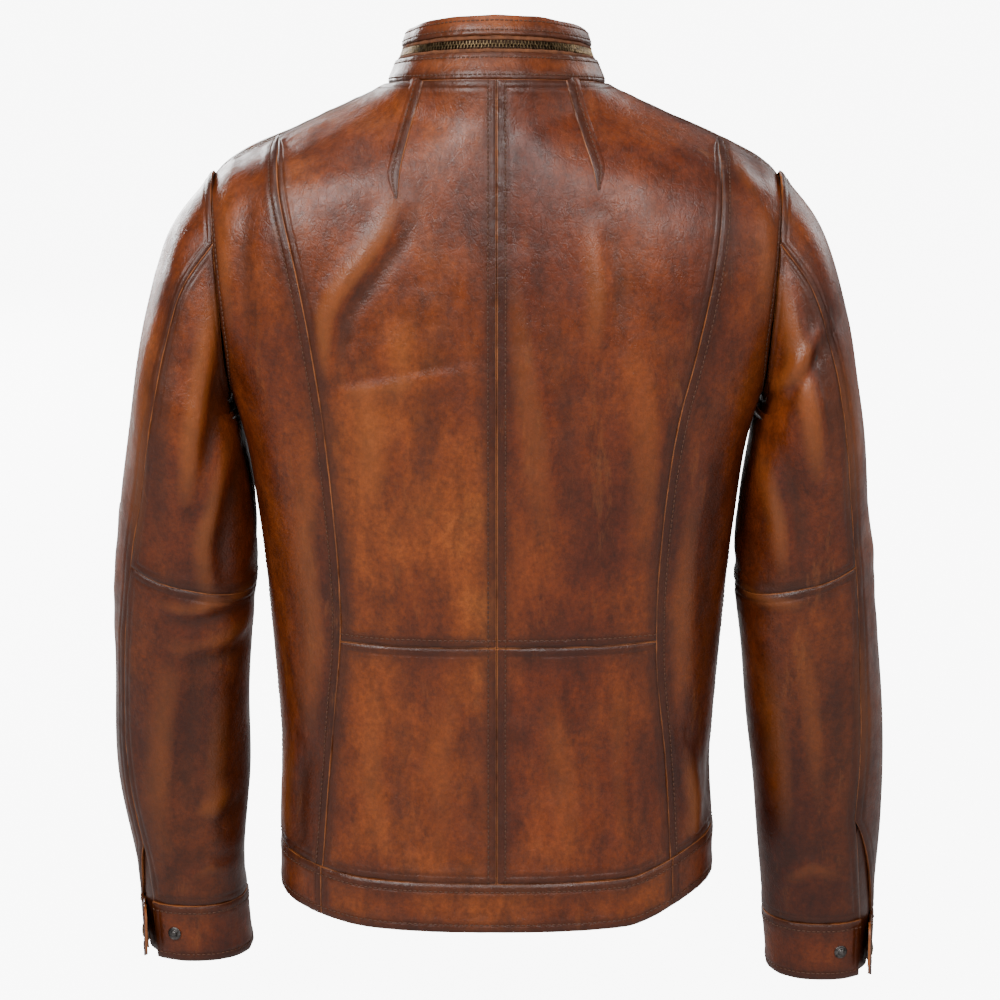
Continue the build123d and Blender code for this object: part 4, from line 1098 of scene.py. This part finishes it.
for side, sign in SIDES:
    top_back, under_back, top_front, under_front = seam_edges(side)
    split_run, elbow_run = run_at(side, SPLIT), run_at(side, ELBOW_SEAM)
    cuff_run, edge_run = run_at(side, CUFF_SEAM[side]), run_at(side, CUFF_EDGE[side])
    upper, fore = f"{side}_upper_sleeve", f"{side}_forearm"
    x = sign * 0.243
    shoulder = ("jacket_body", upper, (x, 0.005, -0.180), (x, 0.005, -0.322))
    elbow = (upper, fore, (x, 0.005, -0.338), (x, 0.005, -0.435))
    sleeve_piece("upper_top", side, sign, top_front, top_back, 0, split_run, "lrt", 81,
                 [f"sleeve_head_{side}", f"upper_sleeve_top_{side}"], shoulder)
    sleeve_piece("upper_under", side, sign, under_back, under_front, 0, split_run, "lrt", 83,
                 [f"upper_sleeve_under_{side}"], shoulder)
    sleeve_piece("forearm_top", side, sign, top_front, top_back, split_run, cuff_run, "lrb", 87,
                 [f"forearm_top_{side}"], elbow)
    sleeve_piece("forearm_under", side, sign, under_back, under_front, elbow_run, cuff_run, "lrtb", 89,
                 [f"forearm_under_{side}"], elbow)
    sleeve_piece("elbow_under", side, sign, under_back, under_front, split_run, elbow_run, "lrb", 83,
                 (), elbow)
    sleeve_piece("cuff", side, sign, lambda z: 0 * z + SLIT_TURN, lambda z: 0 * z + TAB_TURN + 360,
                 cuff_run, edge_run, "lrtb", 91, [f"cuff_{side}"], fore, "tb", "leather_cuff", 0.7, 0.35)
    for name, node, high, low, bodies in (("upper", "upper_sleeve", 8, split_run, shoulder),
                                          ("forearm", "forearm", split_run, edge_run - 4, elbow)):
        inner, outward = sleeve_grid(side, sign, lambda z: 0 * z, lambda z: 0 * z + 360, high, low, 8.0, 4.4)
        plain(f"lining_sleeve_{name}_{side}", inner, outward, "lining", 0.7, bodies,
              [f"{node}_lining_{side}"])


# ---- cuff tabs and snaps -------------------------------------------------------------------------
def lathe(name, profile, origin, axis, material, body, node, count=40):
    """A turned piece: profile of (radius, height) about an axis."""
    axis = unit(np.array(axis, float))
    side = unit(np.cross(axis, (0, 0, 1)))
    other = np.cross(axis, side)
    angle = np.arange(count) * 2 * np.pi / count
    rings = [np.array(origin) + axis * h + r * (np.cos(angle)[:, None] * side
                                                + np.sin(angle)[:, None] * other) for r, h in profile]
    points = np.concatenate(rings)
    faces = [(ring * count + k, ring * count + (k + 1) % count, (ring + 1) * count + (k + 1) % count,
              (ring + 1) * count + k) for ring in range(len(profile) - 1) for k in range(count)]
    faces += [tuple(range(count))[::-1], tuple(range((len(profile) - 1) * count, len(profile) * count))]
    belong(new_object(name, points, faces, MATERIALS[material]), body, [node])


def tab_plate(name, node, origin, along, out, length, height, corner, body):
    """A flat tab with two rounded corners, sewn round its edge."""
    up = np.cross(out, along)
    v = (spread(height, step=3.0) - 0.5) * height
    over = np.maximum(np.abs(v) - (height / 2 - corner), 0)
    reach = length - corner + np.sqrt(np.maximum(corner**2 - over**2, 0))
    share = spread(length, step=3.0)
    grid = origin + (share[None] * reach[:, None])[..., None] * along + v[:, None, None] * up
    outward = np.broadcast_to(out, grid.shape)
    distance = np.minimum(edge_distance(grid, "rtb"), length)
    rise = 0.35 * np.exp(-(np.maximum(distance - 6, 0) / 3) ** 2) - 0.8 * np.exp(-(distance / 1.2) ** 2)
    grid = grid + outward * (rise + 0.15 * waves(grid, 3, 18.0) - 0.25)[..., None]
    piece = shell(name, grid, grid_normals(grid, outward), 1.8, MATERIALS["leather_cuff"],
                  (np.exp(-distance / 5.0), 0 * distance))
    belong(piece, body, [node])
    for edge in "rtb":
        sew(body, polyline_inset(grid, edge, 4.2), nearest_normals(grid, outward), 3.4, 2.5)


SNAP_CAP = [(5.3, 0), (5.5, 0.35), (5.4, 0.8), (4.9, 1.15), (4.4, 1.25), (4.1, 1.1), (3.4, 1.3),
            (2.0, 1.6), (0.6, 1.7)]
SNAP_STUD = [(5.3, 0), (5.4, 0.3), (5.0, 0.75), (3.4, 0.85), (2.5, 1.0), (2.35, 1.6), (2.6, 2.1),
             (2.4, 2.55), (0.5, 2.65)]
TAB_WAY = np.array((math.cos(math.radians(96)), math.sin(math.radians(96)), 0))
TAB_OUT = np.array((TAB_WAY[1], -TAB_WAY[0], 0))


def cuff_point(side, turn, z, proud):
    """A point of a cuff's outer face."""
    table = sleeve_table(side)
    (_, high_x, high_z, high_in, _, _, _), (_, low_x, low_z, low_in, _, _, _) = table[-2], table[-1]
    share = (z - low_z) / (high_z - low_z)
    inner, outer = low_in + share * (high_in - low_in), low_x + share * (high_x - low_x)
    down = (ARMPIT - z) / (ARMPIT + 715)
    depth, middle = 72 - 30 * down**0.6, 12 - 38 * down
    turn = math.radians(turn)
    return np.array(((inner + outer) / 2 + ((outer - inner) / 2 + proud) * math.cos(turn) ** (2 / 2.2),
                     middle + (depth + proud) * math.sin(turn) ** (2 / 2.2), z))


for side, sign in SIDES:
    flip = np.array((sign, 1, 1))
    level = (CUFF_SEAM[side] + CUFF_EDGE[side]) / 2
    root = cuff_point(side, TAB_TURN, level, 0.8) + TAB_WAY * 0.5
    tab_plate(f"leather_cuff_tab_{side}", f"cuff_tab_{side}", root * flip, TAB_WAY * flip,
              TAB_OUT * flip, 32, CUFF_SEAM[side] - CUFF_EDGE[side] - 6, 12, f"{side}_cuff_tab")
    lathe(f"snap_cap_{side}", SNAP_CAP, (root + TAB_WAY * 21 + TAB_OUT * 0.1) * flip, TAB_OUT * flip,
          "brass", f"{side}_cuff_tab", f"cuff_snap_cap_{side}")
    foot = cuff_point(side, 72, level, 0.95)
    tangent = cuff_point(side, 68, level, 0) - cuff_point(side, 76, level, 0)
    facing = np.cross(tangent, (0, 0, 1))
    lathe(f"snap_stud_{side}", SNAP_STUD, foot * flip, facing * math.copysign(1, facing[1]) * flip,
          "gunmetal", f"{side}_forearm", f"cuff_snap_stud_{side}")
    gusset, outward = sleeve_grid(side, sign, lambda z: 0 * z + 6, lambda z: 0 * z + 56,
                                  run_at(side, SLIT_TOP[side]) - 12, run_at(side, CUFF_EDGE[side]) - 3,
                                  inset=2.7)
    still = np.zeros(gusset.shape[:2])
    # painted shade: the edge value is 0.62 all over, so the whole gusset is darkened as shade inside the
    # cuff slit
    strip = shell(f"leather_gusset_{side}", gusset, grid_normals(gusset, outward), 1.0,
                  MATERIALS["leather_sleeve"], (still + 0.62, still))
    belong(strip, f"{side}_forearm", ())


# ---- throat tab and its snap ---------------------------------------------------------------------
turns = np.radians(-108 + 38 * spread(52, step=3.0))
climbs = 3 + 13 * spread(13, near=(0, 0.6, 1.4, 2.4, 3.6), step=2.0)
over = np.maximum(np.abs(climbs - 9.5) - 2.5, 0)
tip = math.radians(38) * (1 - (4 - np.sqrt(np.maximum(16 - over**2, 0))) / 52)
plate_turns = math.radians(-108) + (turns - turns[0])[None] / math.radians(38) * tip[:, None]
plate = collar_point(plate_turns, climbs[:, None] + 0 * plate_turns, -4.4)
plate_out = plate - collar_point(plate_turns, climbs[:, None] + 0 * plate_turns, -3.4)
distance = edge_distance(plate, "rtb")
plate = plate + plate_out * (-0.8 * np.exp(-(distance / 1.2) ** 2) + 0.12 * waves(plate, 4, 16))[..., None]
throat = shell("leather_collar_tab", plate, grid_normals(plate, plate_out), 1.7, MATERIALS["leather"],
               (np.exp(-distance / 5.0), 0 * distance))
belong(throat, "collar_tab", ["collar_tab"])
for edge in "rtb":
    sew("collar_tab", polyline_inset(plate, edge, 2.6), nearest_normals(plate, plate_out), 3.2, 2.3, 0.36)
snap_turn = math.radians(-75)
snap_out = collar_point(snap_turn, 9.5, 0.0) - collar_point(snap_turn, 9.5, 1.0)
lathe("snap_cap_collar", SNAP_CAP, collar_point(snap_turn, 9.5, -4.65), snap_out, "brass", "collar_tab",
      "collar_snap_cap")
lathe("snap_stud_collar", [(r * 0.78, h * 0.6) for r, h in SNAP_STUD],
      collar_point(snap_turn, 9.5, -0.3), snap_out, "brass", "jacket_body", "collar_snap_stud")

for body in stitch_points:
    rows = new_object(f"stitches_{body}", np.concatenate([p.reshape(-1, 3) for p in stitch_points[body]]),
                      np.concatenate(stitch_faces[body]).tolist(), MATERIALS["thread"])
    belong(rows, body, ())

for name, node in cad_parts.items():
    if "slider" in name or "pull" in name or "stops" in name:
        node.data.materials.clear()
        node.data.materials.append(MATERIALS["brass"])


# ---- floor, light and camera -------------------------------------------------------------------
floor_z = HEM * MM - 0.13


def stage_material(name, colour):
    """A pale floor that looks evenly lit to the camera."""
    n = Nodes(name)
    seen = n.make("ShaderNodeLightPath").outputs["Is Camera Ray"]
    return n.set(Base_Color=(*colour, 1), Roughness=0.9, Emission_Color=(1, 1, 1, 1),
                 Emission_Strength=n.math("MULTIPLY", seen, 8.5))


bpy.ops.mesh.primitive_plane_add(size=14, location=(0, 0, floor_z))
floor = bpy.context.object
floor.name = "floor"
floor.data.materials.append(stage_material("floor_white", (0.45, 0.45, 0.45)))

world = bpy.data.worlds.new("studio") if not bpy.context.scene.world else bpy.context.scene.world
bpy.context.scene.world = world
world.use_nodes = True
background = world.node_tree.nodes["Background"]
background.inputs["Color"].default_value = (1.0, 1.0, 1.0, 1)
light_path = world.node_tree.nodes.new("ShaderNodeLightPath")
seen = world.node_tree.nodes.new("ShaderNodeMapRange")
seen.inputs["To Min"].default_value = 0.22
seen.inputs["To Max"].default_value = 9.0
world.node_tree.links.new(light_path.outputs["Is Camera Ray"], seen.inputs["Value"])
world.node_tree.links.new(seen.outputs["Result"], background.inputs["Strength"])


def aim(item, place, target):
    """Puts a light or camera in its place and turns it to its target."""
    item.location = place
    item.rotation_euler = (Vector(target) - Vector(place)).to_track_quat("-Z", "Y").to_euler()
    bpy.context.collection.objects.link(item)


for name, place, size, power in (("key", (1.6, 2.3, 1.7), (0.8, 1.2), 94),
                                 ("near", (-0.8, 3.0, 1.6), (0.5, 1.2), 62),
                                 ("fill", (-2.5, 1.2, 0.6), (1.0, 1.4), 12),
                                 ("top", (0.2, 0.1, 2.2), (2.0, 1.4), 20),
                                 ("front", (1.3, -2.5, 0.15), (1.2, 1.2), 74),
                                 ("front_fill", (-1.8, -2.0, 0.6), (1.0, 1.4), 22)):
    box = bpy.data.lights.new(name, "AREA")
    box.shape = "RECTANGLE"
    box.size, box.size_y = size
    box.energy = power
    aim(bpy.data.objects.new(name, box), place, (0, 0, -0.16))

lens = bpy.data.cameras.new("camera")
lens.lens = 146.7
lens.sensor_width = 36
lens.clip_end = 60
camera = bpy.data.objects.new("camera", lens)
aim(camera, (-0.0025, 3.091, 0.498), (-0.0025, 0, -0.330))
bpy.context.scene.camera = camera
